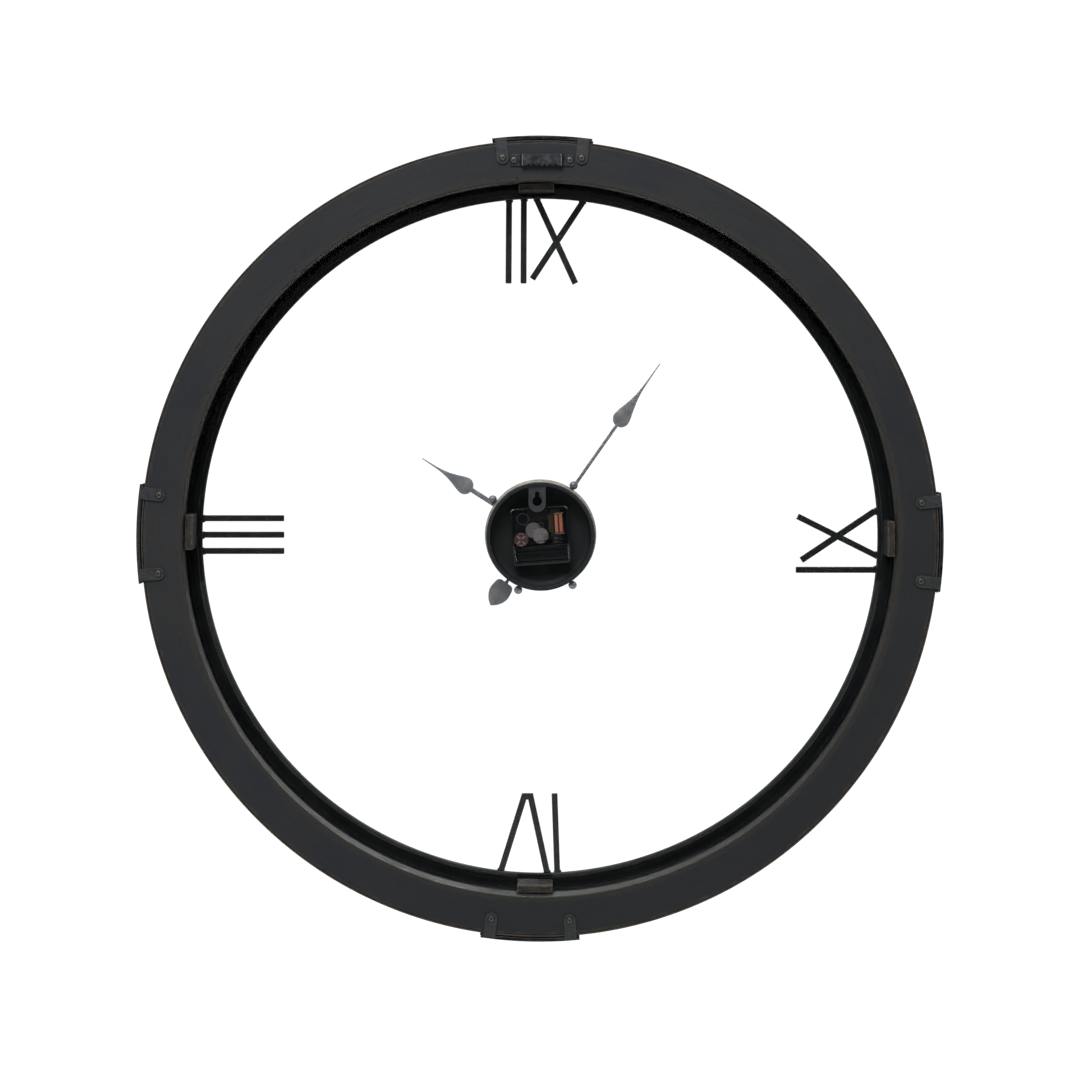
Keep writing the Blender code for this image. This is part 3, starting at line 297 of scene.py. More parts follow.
def pewter_finish():
    """Grey sheet for the hands, with a fine cross grain."""
    graph = Graph("pewter_sheet", Metallic=0.55)
    grain = graph.noise(1.0, 5.0, 0.7, graph.stretched(2600.0, 500.0, 600.0))
    cloud = graph.between(graph.noise(140.0, 4.0), 0.35, 0.68)
    colour = graph.mix(cloud, PEWTER_DARK, PEWTER_LIGHT)
    colour = graph.mix(graph.between(grain, 0.42, 0.66, 0.0, 0.5), colour, PEWTER_BRIGHT)
    graph.paint(Base_Color=graph.mix(graph.math("MULTIPLY", graph.wear(), 0.5), colour, PEWTER_BRIGHT))
    graph.paint(Roughness=graph.between(grain, 0.3, 0.7, 0.34, 0.52))
    graph.paint(Normal=graph.bump(grain, 0.00004))
    return graph.material


def copper_finish():
    """Enamelled wire wound round the core, each turn a fine line across the coil."""
    graph = Graph("enamelled_wire", Metallic=0.3)
    turns = graph.add("TexWave", {"Vector": graph.place, "Scale": 700.0, "Distortion": 0.6, "Detail": 2.0},
                      bands_direction="Y").outputs[1]
    colour = graph.mix(turns, COPPER_DARK, COPPER_LIGHT)
    graph.paint(Base_Color=graph.mix(graph.between(graph.noise(900.0), 0.4, 0.7), colour, COPPER_LIGHT))
    graph.paint(Roughness=graph.between(graph.noise(500.0), 0.3, 0.7, 0.3, 0.45))
    graph.paint(Normal=graph.bump(turns, 0.00012))
    return graph.material


def clear_finish(name, tint, roughness, speckle):
    """Clear sheet. Lamps and diffuse light pass straight through it, so what is behind it stays lit."""
    graph = Graph(name, Metallic=0.0, IOR=1.3, Transmission_Weight=1.0, Roughness=roughness)
    smear = graph.between(graph.noise(12.0, 5.0), 0.45, 0.75)
    graph.paint(Base_Color=graph.mix(smear, tint, [channel * speckle for channel in tint]))
    graph.paint(Normal=graph.bump(graph.noise(5.0, 2.0), 0.00002))
    path = graph.add("LightPath")
    lit = graph.math("MAXIMUM", path.outputs["Is Shadow Ray"], path.outputs["Is Diffuse Ray"])
    open_air = graph.add("BsdfTransparent", {"Color": (*tint, 1.0)})
    mixed = graph.add("MixShader", {0: lit, 1: graph.shader.outputs[0], 2: open_air.outputs[0]})
    graph.tree.links.new(mixed.outputs[0], graph.tree.nodes["Material Output"].inputs["Surface"])
    return graph.material


BOARD_BLUE = (0.0135, 0.0158, 0.0198)
BOARD_GREY = (0.018, 0.019, 0.021)
BOARD_BROWN = (0.0195, 0.0182, 0.0165)
BOARD_DARK = (0.0085, 0.0095, 0.0108)
BOARD_RIM = (0.042, 0.035, 0.027)
BOARD_BORE = (0.0225, 0.0212, 0.018)
STEEL_DARK = (0.0016, 0.0022, 0.0026)
STEEL_BLUE = (0.0032, 0.0042, 0.0048)
STEEL_BROWN = (0.0046, 0.0044, 0.0038)
STEEL_TAN = (0.062, 0.048, 0.035)
STEEL_EDGE = (0.042, 0.045, 0.048)
SCREW_DARK = (0.036, 0.028, 0.0215)
SCREW_LIGHT = (0.076, 0.06, 0.046)
SCREW_WORN = (0.14, 0.112, 0.086)
WOOD_DARK = (0.016, 0.014, 0.0115)
WOOD_LIGHT = (0.042, 0.037, 0.03)
WOOD_EDGE = (0.08, 0.072, 0.06)
PEWTER_DARK = (0.11, 0.114, 0.126)
PEWTER_LIGHT = (0.175, 0.181, 0.193)
PEWTER_BRIGHT = (0.22, 0.225, 0.235)
COPPER_DARK = (0.42, 0.105, 0.05)
COPPER_LIGHT = (0.9, 0.33, 0.18)


def make_finishes():
    """Every finish by its name."""
    board_inner = turned_levels("back_ring")[0][0]
    case_radii, case_depths = turned_levels("front_case")
    return {
        "case_steel": case_finish(case_depths[-1]),
        "board": board_finish(board_inner, case_radii[-1]),
        "glass": clear_finish("clear_glass", (0.985, 0.995, 0.99), 0.0, 0.99),
        "block": wood_finish(span("glass_block_12")[1].z),
        "strap": worn("strap_steel", (0.0075, 0.009, 0.0105), (0.012, 0.0135, 0.0155),
                      (0.028, 0.03, 0.032), 0.48, 0.15, wear=0.7),
        "screw": screw_finish(SCREW_HEAD),
        "hanger": worn("blued_steel", (0.0085, 0.0125, 0.0165), (0.0125, 0.0175, 0.023),
                       (0.05, 0.056, 0.062), 0.36, 0.4, wear=0.6, patch=40.0, grain=500.0, depth=0.000006),
        "bar": worn("bar_steel", (0.004, 0.0043, 0.0045), (0.0068, 0.0072, 0.0074), (0.016, 0.017, 0.017),
                    0.52, 0.05, wear=0.3, patch=120.0, depth=0.000002, shine=0.15),
        "pod_base": worn("turned_base", (0.25, 0.235, 0.205), (0.36, 0.34, 0.3), (0.5, 0.48, 0.44),
                         0.38, 0.45, wear=0.6, patch=140.0),
        "pod_cup": worn("satin_cup", (0.004, 0.0055, 0.0062), (0.0068, 0.0086, 0.0094),
                        (0.036, 0.046, 0.051), 0.64, 0.05, wear=0.6, patch=50.0, grain=1100.0,
                        depth=0.000006, shine=0.28),
        "pod_tab": worn("tab_steel", (0.022, 0.024, 0.026), (0.034, 0.036, 0.038), (0.075, 0.077, 0.08),
                        0.46, 0.4, patch=200.0),
        "zinc": worn("zinc_plate", (0.23, 0.26, 0.28), (0.42, 0.45, 0.47), (0.62, 0.64, 0.65),
                     0.3, 0.85, wear=0.8, patch=400.0, depth=0.000005),
        "brass": worn("turned_brass", (0.42, 0.27, 0.09), (0.62, 0.44, 0.17), (0.76, 0.6, 0.3),
                      0.28, 1.0, wear=0.7, patch=300.0),
        "movement_case": worn("black_plastic", (0.011, 0.0135, 0.0155), (0.017, 0.02, 0.0222),
                              (0.03, 0.035, 0.038), 0.44, wear=0.25, patch=90.0, grain=700.0,
                              depth=0.000002, shine=0.25),
        "smoked_cover": clear_finish("smoked_plastic", (0.62, 0.62, 0.63), 0.0, 0.92),
        "wheel": small("milky_plastic", (0.23, 0.195, 0.18), (0.31, 0.27, 0.25), (0.5, 0.46, 0.44),
                       0.38),
        # Painted light: the seconds wheel, uppermost in the stack, gets a lighter copy of the milky plastic.
        "lit_top_wheel": small("lit_milky_plastic", (0.33, 0.3, 0.282), (0.41, 0.375, 0.355),
                           (0.65, 0.62, 0.6), 0.38),
        "dark_wheel": clear_finish("smoky_plastic", (0.86, 0.85, 0.84), 0.02, 0.94),
        "coil_core": worn("coil_tape", (0.055, 0.012, 0.01), (0.085, 0.022, 0.016), (0.16, 0.07, 0.05),
                          0.5, wear=0.6, patch=400.0, depth=0.000004),
        "knob": small("maroon_plastic", (0.026, 0.01, 0.009), (0.042, 0.019, 0.016), (0.085, 0.055, 0.05),
                      0.3),
        # Painted highlight: the knob's raised cross is a lighter copy of the maroon plastic.
        "knob_ridge_highlight": small("lit_maroon_ridges", (0.09, 0.056, 0.05), (0.15, 0.1, 0.09),
                            (0.24, 0.18, 0.165), 0.3),
        "rotor": small("rotor_magnet", (0.17, 0.155, 0.145), (0.26, 0.245, 0.235), (0.4, 0.38, 0.36),
                       0.36, 0.3, wear=0.7),
        "steel": small("core_steel", (0.035, 0.036, 0.038), (0.06, 0.062, 0.066), (0.15, 0.155, 0.16),
                       0.36, 0.6),
        "copper": copper_finish(),
        "bobbin": worn("bobbin_plastic", (0.3, 0.2, 0.12), (0.44, 0.31, 0.19), (0.6, 0.47, 0.33),
                       0.45, wear=0.6, patch=500.0),
        "terminal": worn("terminal_board", (0.05, 0.04, 0.022), (0.085, 0.07, 0.04),
                         (0.2, 0.17, 0.11), 0.4, wear=0.6, patch=300.0),
        "circuit": small("printed_board", (0.01, 0.014, 0.009), (0.018, 0.024, 0.015),
                         (0.06, 0.07, 0.05), 0.42, wear=0.5),
        # The bright strips on the hanger's bends and the arcs on the cover's corners also take this finish, as
        # painted highlights.
        "contact": small("nickel_and_glints", (0.6, 0.6, 0.59), (0.74, 0.735, 0.72), (0.86, 0.855, 0.84),
                         0.2, 1.0),
        "pewter": pewter_finish(),
    }


# ---- mesh tools

def arc(radius, start, end, count, centre=(0.0, 0.0)):
    """Points on an arc, with both ends included. Angles are in degrees."""
    angles = [math.radians(start + (end - start) * i / (count - 1)) for i in range(count)]
    return [(centre[0] + radius * math.cos(a), centre[1] + radius * math.sin(a)) for a in angles]


def circle(radius, count, centre=(0.0, 0.0)):
    return arc(radius, 0.0, 360.0 * (count - 1) / count, count, centre)


def softened(points, edge, closed=True, count=4):
    """Rounds every corner of an outline, with one more point a little way along each side."""
    made = []
    total = len(points)
    for i, corner in enumerate(points):
        corner = Vector(corner)
        if not closed and i in (0, total - 1):
            made.append(tuple(corner))
            continue
        before, after = Vector(points[i - 1]) - corner, Vector(points[(i + 1) % total]) - corner
        cut = min(edge, before.length * 0.3, after.length * 0.3)
        start, end = corner + before.normalized() * cut, corner + after.normalized() * cut
        made.append(tuple(start + before.normalized() * cut * 0.6))
        for step in range(count + 1):
            t = step / count
            made.append(tuple(start * (1 - t) ** 2 + corner * 2 * t * (1 - t) + end * t ** 2))
        made.append(tuple(end + after.normalized() * cut * 0.6))
    return made


def lathe(profile, steps, closed=True):
    """A surface turned about z from (radius, depth) points."""
    work = bmesh.new()
    turns = [Vector(point) for point in circle(1.0, steps)]
    rings = []
    for radius, depth in profile:
        if radius < 1e-7:
            rings.append([work.verts.new((0.0, 0.0, depth))] * steps)
        else:
            rings.append([work.verts.new((radius * turn.x, radius * turn.y, depth)) for turn in turns])
    pairs = list(zip(rings, rings[1:]))
    if closed:
        pairs.append((rings[-1], rings[0]))
    for first, second in pairs:
        for i in range(steps):
            j = (i + 1) % steps
            corners = list(dict.fromkeys((first[i], first[j], second[j], second[i])))
            if len(corners) > 2:
                work.faces.new(corners)
    bmesh.ops.recalc_face_normals(work, faces=work.faces)
    return work


def sheet(outlines, front, back):
    """A flat piece between two depths. The first outline is its edge and the others are holes in it."""
    curve = bpy.data.curves.new("outline", "CURVE")
    curve.dimensions = "2D"
    curve.fill_mode = "BOTH"
    curve.extrude = (back - front) / 2
    for outline in outlines:
        spline = curve.splines.new("POLY")
        spline.points.add(len(outline) - 1)
        for point, (x, y) in zip(spline.points, outline):
            point.co = (x, y, 0.0, 1.0)
        spline.use_cyclic_u = True
    drawing = bpy.data.objects.new("outline", curve)
    bpy.context.scene.collection.objects.link(drawing)
    graph = bpy.context.evaluated_depsgraph_get()
    mesh = bpy.data.meshes.new_from_object(drawing.evaluated_get(graph))
    bpy.data.objects.remove(drawing)
    work = bmesh.new()
    work.from_mesh(mesh)
    bmesh.ops.remove_doubles(work, verts=work.verts, dist=1e-6)
    bmesh.ops.recalc_face_normals(work, faces=work.faces)
    return moved(work, 0.0, 0.0, (front + back) / 2)


def bar(left, bottom, right, top, front, back):
    """A box between two corners and two depths."""
    work = bmesh.new()
    bmesh.ops.create_cube(work, size=1.0)
    bmesh.ops.scale(work, verts=work.verts, vec=(right - left, top - bottom, back - front))
    return moved(work, (left + right) / 2, (bottom + top) / 2, (front + back) / 2)


def moved(work, x, y, z):
    bmesh.ops.translate(work, verts=work.verts, vec=(x, y, z))
    return work


def dome(radius, foot, height):
    """The profile of a screw's domed head, from its edge almost to its middle."""
    turns = [math.radians(angle) for angle in range(0, 90, 10)]
    return [(radius * math.cos(t), foot + height * math.sin(t)) for t in turns]


def rounded(work, edge, segments=2, inset=0.0):
    """Rounds the sharp edges of a shape, marks them for wear and sets a narrow band round each flat."""
    wear = work.verts.layers.float.new("wear")
    bmesh.ops.remove_doubles(work, verts=work.verts, dist=1e-6)
    bmesh.ops.dissolve_limit(work, angle_limit=math.radians(0.5), verts=work.verts, edges=work.edges)
    bmesh.ops.recalc_face_normals(work, faces=work.faces)
    sharp = [e for e in work.edges if len(e.link_faces) == 2 and e.calc_face_angle(0.0) > SHARP]
    made = bmesh.ops.bevel(work, geom=sharp, offset=edge, segments=segments, profile=0.5, affect="EDGES",
                           clamp_overlap=True)
    edges = set(made["faces"])
    if inset:
        flats = [face for face in work.faces if face not in edges]
        bmesh.ops.inset_region(work, faces=flats, thickness=inset, use_boundary=True, use_even_offset=True)
    for vert in work.verts:
        vert[wear] = 0.0
    for face in edges:
        for vert in face.verts:
            vert[wear] = 1.0
    return work


def mark_edges(work, least=8.0):
    """Marks the outward corners of a turned shape for wear."""
    wear = work.verts.layers.float.new("wear")
    for edge in work.edges:
        if len(edge.link_faces) == 2 and edge.calc_face_angle_signed(0.0) > math.radians(least):
            for vert in edge.verts:
                vert[wear] = 1.0
    return work


def own_shape(node):
    """A node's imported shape, as the clock looks from behind."""
    work = bmesh.new()
    work.from_mesh(frame["nodes"][node].data)
    bmesh.ops.transform(work, matrix=BEHIND.inverted(), verts=work.verts)
    return work


def roughened(work, amount, scale):
    """Moves each point by a little smooth noise."""
    for vert in work.verts:
        vert.co += noise.noise_vector(vert.co * scale) * amount
    return work


def add_piece(name, work, finish, body="case", nodes=(), centre=(0.0, 0.0), turn=0.0, flat=False):
    """Makes an object of a shape, which rides on a body and may stand for CAD nodes."""
    mesh = bpy.data.meshes.new(name)
    work.to_mesh(mesh)
    work.free()
    obj = bpy.data.objects.new(name, mesh)
    bpy.context.scene.collection.objects.link(obj)
    obj.matrix_world = BEHIND @ Matrix.Translation((*centre, 0.0)) @ Matrix.Rotation(turn, 4, "Z")
    mesh.materials.append(FINISHES[finish])
    mesh.shade_smooth()
    mesh.set_sharp_from_angle(angle=math.radians(20.0 if flat else 50.0))
    normals = obj.modifiers.new("Normals", "WEIGHTED_NORMAL")
    normals.keep_sharp = True
    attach(obj, body)
    if nodes:
        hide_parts(*nodes)
    return obj


def refine(node, edge, segments=2, inset=0.0, finish=None):
    """Shows a node's own shape with rounded edges."""
    work = rounded(own_shape(node), edge, segments, inset)
    add_piece(f"{node}_shape", work, finish or SLOT_OF[node], BODY_OF[node], [node])


def carved(work, cutter):
    """Cuts one closed shape out of another."""
    objects = []
    for shape in (work, cutter):
        mesh = bpy.data.meshes.new("carving")
        shape.to_mesh(mesh)
        shape.free()
        obj = bpy.data.objects.new("carving", mesh)
        bpy.context.scene.collection.objects.link(obj)
        objects.append(obj)
    boolean = objects[0].modifiers.new("Cut", "BOOLEAN")
    boolean.operation = "DIFFERENCE"
    boolean.solver = "EXACT"
    boolean.object = objects[1]
    graph = bpy.context.evaluated_depsgraph_get()
    result = bmesh.new()
    result.from_mesh(bpy.data.meshes.new_from_object(objects[0].evaluated_get(graph)))
    for obj in objects:
        bpy.data.objects.remove(obj)
    return result


# ---- case, glass and blocks

def make_case():
    radii, depths = turned_levels("front_case")
    lip, bead, wall, wall_back, hoop, rim = radii
    face, sheet_back, lip_back, wall_end, end = depths
    channel = [(rim, end), (rim, face), (lip, face), (lip, lip_back), (bead, lip_back), (bead, sheet_back),
               (wall, sheet_back), (wall, wall_end), (wall_back, wall_end), (wall_back, sheet_back),
               (hoop, sheet_back), (hoop, end)]
    work = lathe(softened(channel, 0.0009), RIM_STEPS)
    add_piece("front_case_shape", mark_edges(work), "case_steel", nodes=["front_case"])


def make_board():
    radii, depths = turned_levels("back_ring")
    inner, outer = radii[0], radii[-1]
    low, high = depths[0], depths[-1]
    between = [(inner + (outer - inner) * share, high) for share in (0.2, 0.4, 0.6, 0.8)]
    profile = [(outer, high), (outer, low), (inner, low), (inner, high)]
    work = lathe(softened(profile, 0.0011, count=5) + between, RIM_STEPS * 2)
    for vert in work.verts:
        radius = vert.co.xy.length
        near_edge = max(0.0, 1.0 - min(radius - inner, outer - radius) / 0.004)
        back = max(0.0, 1.0 - (high - vert.co.z) / 0.004)
        dent = noise.fractal(vert.co * 130.0, 0.8, 2.0, 4) * 0.00035 * near_edge * back
        toward = 1.0 if radius < (inner + outer) / 2 else -1.0
        if dent * toward > 0.0 or toward > 0.0:
            vert.co.xy += vert.co.xy.normalized() * abs(dent) * toward
    add_piece("back_ring_shape", mark_edges(work), "board", nodes=["back_ring"])


def make_glass():
    low, high = span("glass_pane")
    holes = []
    for node in frame["nodes"]:
        if node.startswith("pod_screw"):
            screw_low, screw_high = span(node)
            holes.append(circle(0.0023, 24, (screw_low.xy + screw_high.xy) / 2))
    outlines = [circle(high.x, RIM_STEPS), circle(ARBOR_HOLE, 48, AXIS)] + holes
    work = rounded(sheet(outlines, low.z, high.z), 0.0003)
    add_piece("glass_pane_shape", work, "glass", nodes=["glass_pane"])


def make_blocks():
    """Sawn blocks that hold the glass, a little out of square."""
    for hour in HOURS:
        node = f"glass_block_{hour}"
        low, high = span(node)
        middle = (low + high) / 2
        angle = math.atan2(middle.y, middle.x) - math.pi / 2
        points = [Matrix.Rotation(-angle, 3, "Z") @ p for p in points_of(node)]
        size = [max(p[i] for p in points) - min(p[i] for p in points) for i in range(3)]
        work = bmesh.new()
        bmesh.ops.create_cube(work, size=1.0)
        bmesh.ops.scale(work, verts=work.verts, vec=size)
        rounded(work, 0.0005, 2, 0.0012)
        long_edges = [edge for edge in work.edges if edge.calc_length() > 0.012]
        bmesh.ops.subdivide_edges(work, edges=long_edges, cuts=14, use_grid_fill=True)
        roughened(work, 0.00016, 260.0)
        add_piece(f"{node}_shape", moved(work, 0.0, middle.xy.length, middle.z), "block", nodes=[node],
                  turn=angle)


# ---- straps, screws and hanger

def cross_cutter(reach, width, top, depth):
    """A driver's cross, narrowing downwards."""
    half = width / 2
    arm = [(half, half), (half, reach), (-half, reach)]
    outline = [(x * c - y * t, x * t + y * c) for c, t in ((1, 0), (0, 1), (-1, 0), (0, -1)) for x, y in arm]
    work = sheet([outline], top - depth, top + 0.0002)
    for vert in work.verts:
        if vert.co.z < top - depth / 2:
            vert.co.xy *= 0.45
    return work


def make_screw(node, centre, turn):
    """A pan-head screw with a cross recess."""
    _, depths = turned_levels(node, centre)
    tip, back = depths[0], depths[-1]
    head, height, shank = SCREW_HEAD, 0.0013, 0.0013
    front = back - height
    profile = [(0.0, tip), (shank, tip + shank), (shank, front), (head - 0.0002, front),
               (head, front + 0.0002)]
    profile += dome(head, front + height * 0.3, height * 0.7) + [(0.0, back)]
    work = carved(lathe(profile, 32, closed=False), cross_cutter(0.0021, 0.0008, back, 0.0009))
    add_piece(f"{node}_shape", mark_edges(work, 25.0), "screw", nodes=[node], centre=centre, turn=turn)


def add_strap_liner(hour):
    """The packing between a strap's plate and the rim."""
    points = [p for p in points_of(f"strap_{hour}") if p.xy.length > RIM + 0.0015]
    middle = sum((p.xy.normalized() for p in points), Vector((0.0, 0.0)))
    turn = math.atan2(middle.y, middle.x)
    upright = [Matrix.Rotation(-turn, 2) @ p.xy for p in points]
    reach = math.degrees(max(abs(p.angle_signed(Vector((1.0, 0.0)))) for p in upright)) - 0.3
    plate = min(p.xy.length for p in points)
    outline = arc(plate - 0.0001, -reach, reach, 24) + arc(plate - 0.0014, reach, -reach, 24)
    back = span(f"strap_{hour}")[1].z
    work = rounded(sheet([outline], back - 0.03, back - 0.0008), 0.0002, 2, 0.0002)
    add_piece(f"strap_liner_{hour}", work, "strap", turn=turn)


def add_hanger_glints():
    """Painted highlights: bright strips along the bends at both ends of the raised bridge."""
    points = points_of("sawtooth_hanger")
    low, high = span("sawtooth_hanger")
    deck = [p.x for p in points if p.z > high.z - 0.0002]
    for i, x in enumerate((min(deck), max(deck))):
        work = bar(x - 0.0004, low.y + 0.0003, x + 0.0004, high.y - 0.0003, high.z - 0.0005,
                   high.z + 0.00015)
        add_piece(f"hanger_glint_{i + 1}", rounded(work, 0.0002, 2, 0.0001), "contact")


def make_fasteners():
    for hour in HOURS:
        refine(f"strap_{hour}", 0.00045, 3)
        add_strap_liner(hour)
    refine("sawtooth_hanger", 0.00022, 2)
    # Painted highlights on the hanger's bends.
    add_hanger_glints()
    for node in sorted(frame["nodes"]):
        if node.startswith(("strap_screw", "hanger_screw")):
            low, high = span(node)
            make_screw(node, (low.xy + high.xy) / 2, random.uniform(0.0, math.pi / 2))


# ---- numerals

def weld_bead(name, centre, direction, width):
    """A lump of weld between a bar and the lip."""
    work = bmesh.new()
    bmesh.ops.create_icosphere(work, subdivisions=4, radius=1.0)
    for vert in work.verts:
        lumps = 1.0 + 0.16 * noise.fractal(vert.co * 2.3 + Vector((*centre, 0.0)) * 90.0, 0.7, 2.0, 3)
        vert.co *= lumps
        vert.co = Vector((vert.co.x * width, vert.co.y * 0.0024, vert.co.z * 0.0019))
    turn = math.atan2(direction.y, direction.x) - math.pi / 2
    low, high = span("numeral_3_bar_1")
    add_piece(name, moved(work, 0.0, 0.0, (low.z + high.z) / 2), "bar", centre=centre, turn=turn)


def make_numerals():
    lip = turned_levels("front_case")[0][0]
    for node in sorted(frame["nodes"]):
        if not node.startswith("numeral_"):
            continue
        refine(node, 0.001, 3)
        rim = [p.xy for p in points_of(node) if p.xy.length > lip - 0.004]
        ends = []
        for point in rim:
            near = [end for end in ends if (end[0] - point).length < 0.009]
            if near:
                near[0].append(point)
            else:
                ends.append([point])
        for i, end in enumerate(ends):
            middle = sum(end, Vector((0.0, 0.0))) / len(end)
            direction = middle.normalized()
            weld_bead(f"{node}_weld_{i + 1}", direction * (lip - 0.0011), direction, 0.0037)


# ---- pod

def make_pod():
    low, high = span("pod_base")
    base_radius = (high.x - low.x) / 2
    base_back = high.z
    step = base_back - 0.001
    base = softened([(base_radius - 0.0026, base_back), (base_radius - 0.0022, step - 0.0004),
                     (base_radius, step - 0.0008), (base_radius, low.z), (ARBOR_HOLE, low.z),
                     (ARBOR_HOLE, base_back)], 0.0003)
    add_piece("pod_base_shape", mark_edges(lathe(base, 160)), "pod_base", nodes=["pod_base"], centre=AXIS)

    low, high = span("pod_cup")
    radius = (high.x - low.x) / 2
    corner, wall, mouth = 0.009, CUP_WALL, radius - 0.0037
    outer = arc(corner, 0.0, -90.0, 10, (radius - corner, low.z + corner))
    inner = arc(corner - wall, -90.0, 0.0, 10, (radius - corner, low.z + corner))
    rim = softened([(radius - wall, high.z - wall), (mouth, high.z - wall), (mouth, high.z),
                    (radius, high.z)], 0.0007, closed=False)
    rim = rim[:-1] + softened([(mouth, high.z), (radius, high.z), (radius, high.z - 0.01)], 0.001)[7:14]
    near = ARBOR_HOLE + 0.001
    floor = softened([(near, low.z), (ARBOR_HOLE, low.z), (ARBOR_HOLE, low.z + wall), (near, low.z + wall)],
                     0.0002, closed=False)
    cup = rim + outer + floor + inner
    add_piece("pod_cup_shape", mark_edges(lathe(cup, 192)), "pod_cup", nodes=["pod_cup"], centre=AXIS)


def make_pod_tab():
    """The tab with a keyhole, under the rim of the cup."""
    low, high = span("pod_hanger_tab")
    centre_x, half = (low.x + high.x) / 2, (high.x - low.x) / 2
    hole, slot, hole_y = 0.0048, 0.0023, low.y + half + 0.0024
    slot_top = high.y - 0.0062
    outline = [(centre_x + half, high.y), (centre_x - half, high.y)]
    outline += arc(half, 180.0, 360.0, 28, (centre_x, low.y + half))
    opening = math.degrees(math.asin(slot / hole))
    keyhole = arc(hole, 90.0 + opening, 450.0 - opening, 36, (centre_x, hole_y))
    keyhole += arc(slot, 0.0, 180.0, 14, (centre_x, slot_top - slot))
    work = rounded(sheet([outline, keyhole], low.z, high.z), 0.0003, 3, 0.0005)
    add_piece("pod_hanger_tab_shape", work, "pod_tab", nodes=["pod_hanger_tab"])


def make_pod_screws():
    """Domed screws with washers behind the glass and nuts in front of it. The upper two take the darker pewter
    finish as painted shade.
    """
    glass_front = span("glass_pane")[0].z
    for node in sorted(frame["nodes"]):
        if not node.startswith("pod_screw"):
            continue
        low, high = span(node)
        centre = (low.xy + high.xy) / 2
        washer = high.z - 0.0026
        nut_back, nut_front = glass_front - 0.0003, low.z
        profile = [(0.0, nut_front), (0.0022, nut_front), (0.0034, nut_front + 0.0006),
                   (0.0038, nut_front + 0.0013), (0.0038, nut_back), (0.0018, nut_back), (0.0018, washer),
                   (0.004, washer), (0.0042, washer + 0.0002), (0.0042, washer + 0.0005),
                   (0.004, washer + 0.0007), (0.0034, washer + 0.0007)]
        profile += dome(0.0034, high.z - 0.0018, 0.0018) + [(0.0, high.z)]
        work = carved(lathe(profile, 40, closed=False), cross_cutter(0.002, 0.0008, high.z, 0.001))
        # Painted shade: the upper two screws get the darker pewter finish.
        finish = "zinc" if "lower" in node else "pewter"
        add_piece(f"{node}_shape", mark_edges(work, 25.0), finish, nodes=[node], centre=centre,
                  turn=random.uniform(0.0, math.pi / 2))


# ---- movement

def in_movement(work):
    """Turns a drawing of the square movement to its place in the pod."""
    place = Matrix.Translation((*AXIS, 0.0)) @ Matrix.Rotation(MOVEMENT_TURN, 4, "Z")
    bmesh.ops.transform(work, matrix=place, verts=work.verts)
    return work


def make_movement():
    for node in ("movement_case", "movement_cover", "middle_plate"):
        refine(node, 0.00025, 2, 0.0004)
    refine("bush_nut", 0.0004, 3, 0.0005)
    refine("stator", 0.0001)
    refine("circuit_board", 0.0001)
    for node in ("battery_contact_plus", "battery_contact_minus"):
        refine(node, 0.00012)

    low, high = span("movement_case")
    reach = (high.x - low.x) / 2 * 0.93 - 0.0035
    floor = span("battery_contact_plus")[0].z
    for i in range(4):
        bottom = -0.0248 + i * 0.0041
        rib = rounded(bar(-reach, bottom, reach, bottom + 0.001, floor - 0.0021, floor - 0.0008), 0.0002)
        add_piece(f"bay_rib_{i + 1}", in_movement(rib), "movement_case")
    back = span("movement_cover")[1].z
    rings = (("cover_ring", 0.0022, 0.0002, 0.001, 0.011, 48, 0.00005),
             ("cover_boss", 0.0052, 0.00015, -0.0165, 0.018, 64, 0.00004))
    for name, inner, height, x, y, steps, edge in rings:
        outer = inner + 0.0008
        ring = lathe([(inner, back), (inner, back + height), (outer, back + height), (outer, back)], steps)
        add_piece(name, in_movement(moved(rounded(ring, edge), x, y, 0.0)), "movement_case")
    # Painted highlights: bright arcs on the cover's two upper corners, where light glints.
    corner = 0.003
    for i, side in enumerate((1, -1)):
        centre = (side * (MOVEMENT_HALF - corner), MOVEMENT_HALF - corner)
        start = 90.0 * i
        edge = arc(corner, start, start + 90.0, 12, centre)
        edge += arc(corner - 0.0005, start + 90.0, start, 12, centre)
        glint = rounded(sheet([edge], back - 0.0001, back + 0.00015), 0.0001)
        add_piece(f"cover_corner_glint_{i + 1}", in_movement(glint), "contact")


def make_coil():
    """A bobbin with its winding in two strips beside the core, and the terminal board by it."""
    refine("coil", 0.0003, finish="coil_core")
    back = span("coil")[1].z
    for i, left in enumerate((0.0147, 0.0193)):
        work = bar(left, 0.0022, left + 0.0035, 0.0202, back - 0.003, back + 0.0006)
        add_piece(f"coil_winding_{i + 1}", in_movement(rounded(work, 0.0008, 3, 0.0004)), "copper")
    for i, bottom in enumerate((0.0006, 0.0206)):
        end = bar(0.0142, bottom, 0.0238, bottom + 0.0011, back - 0.003, back + 0.0008)
        end = in_movement(rounded(end, 0.0002, 2, 0.0002))
        add_piece(f"coil_end_{i + 1}", end, "bobbin")
    strip = bar(0.0086, 0.0036, 0.0136, 0.0218, back - 0.004, back - 0.0032)
    strip = in_movement(rounded(strip, 0.0002, 2, 0.0002))
    add_piece("coil_terminal_board", strip, "terminal")


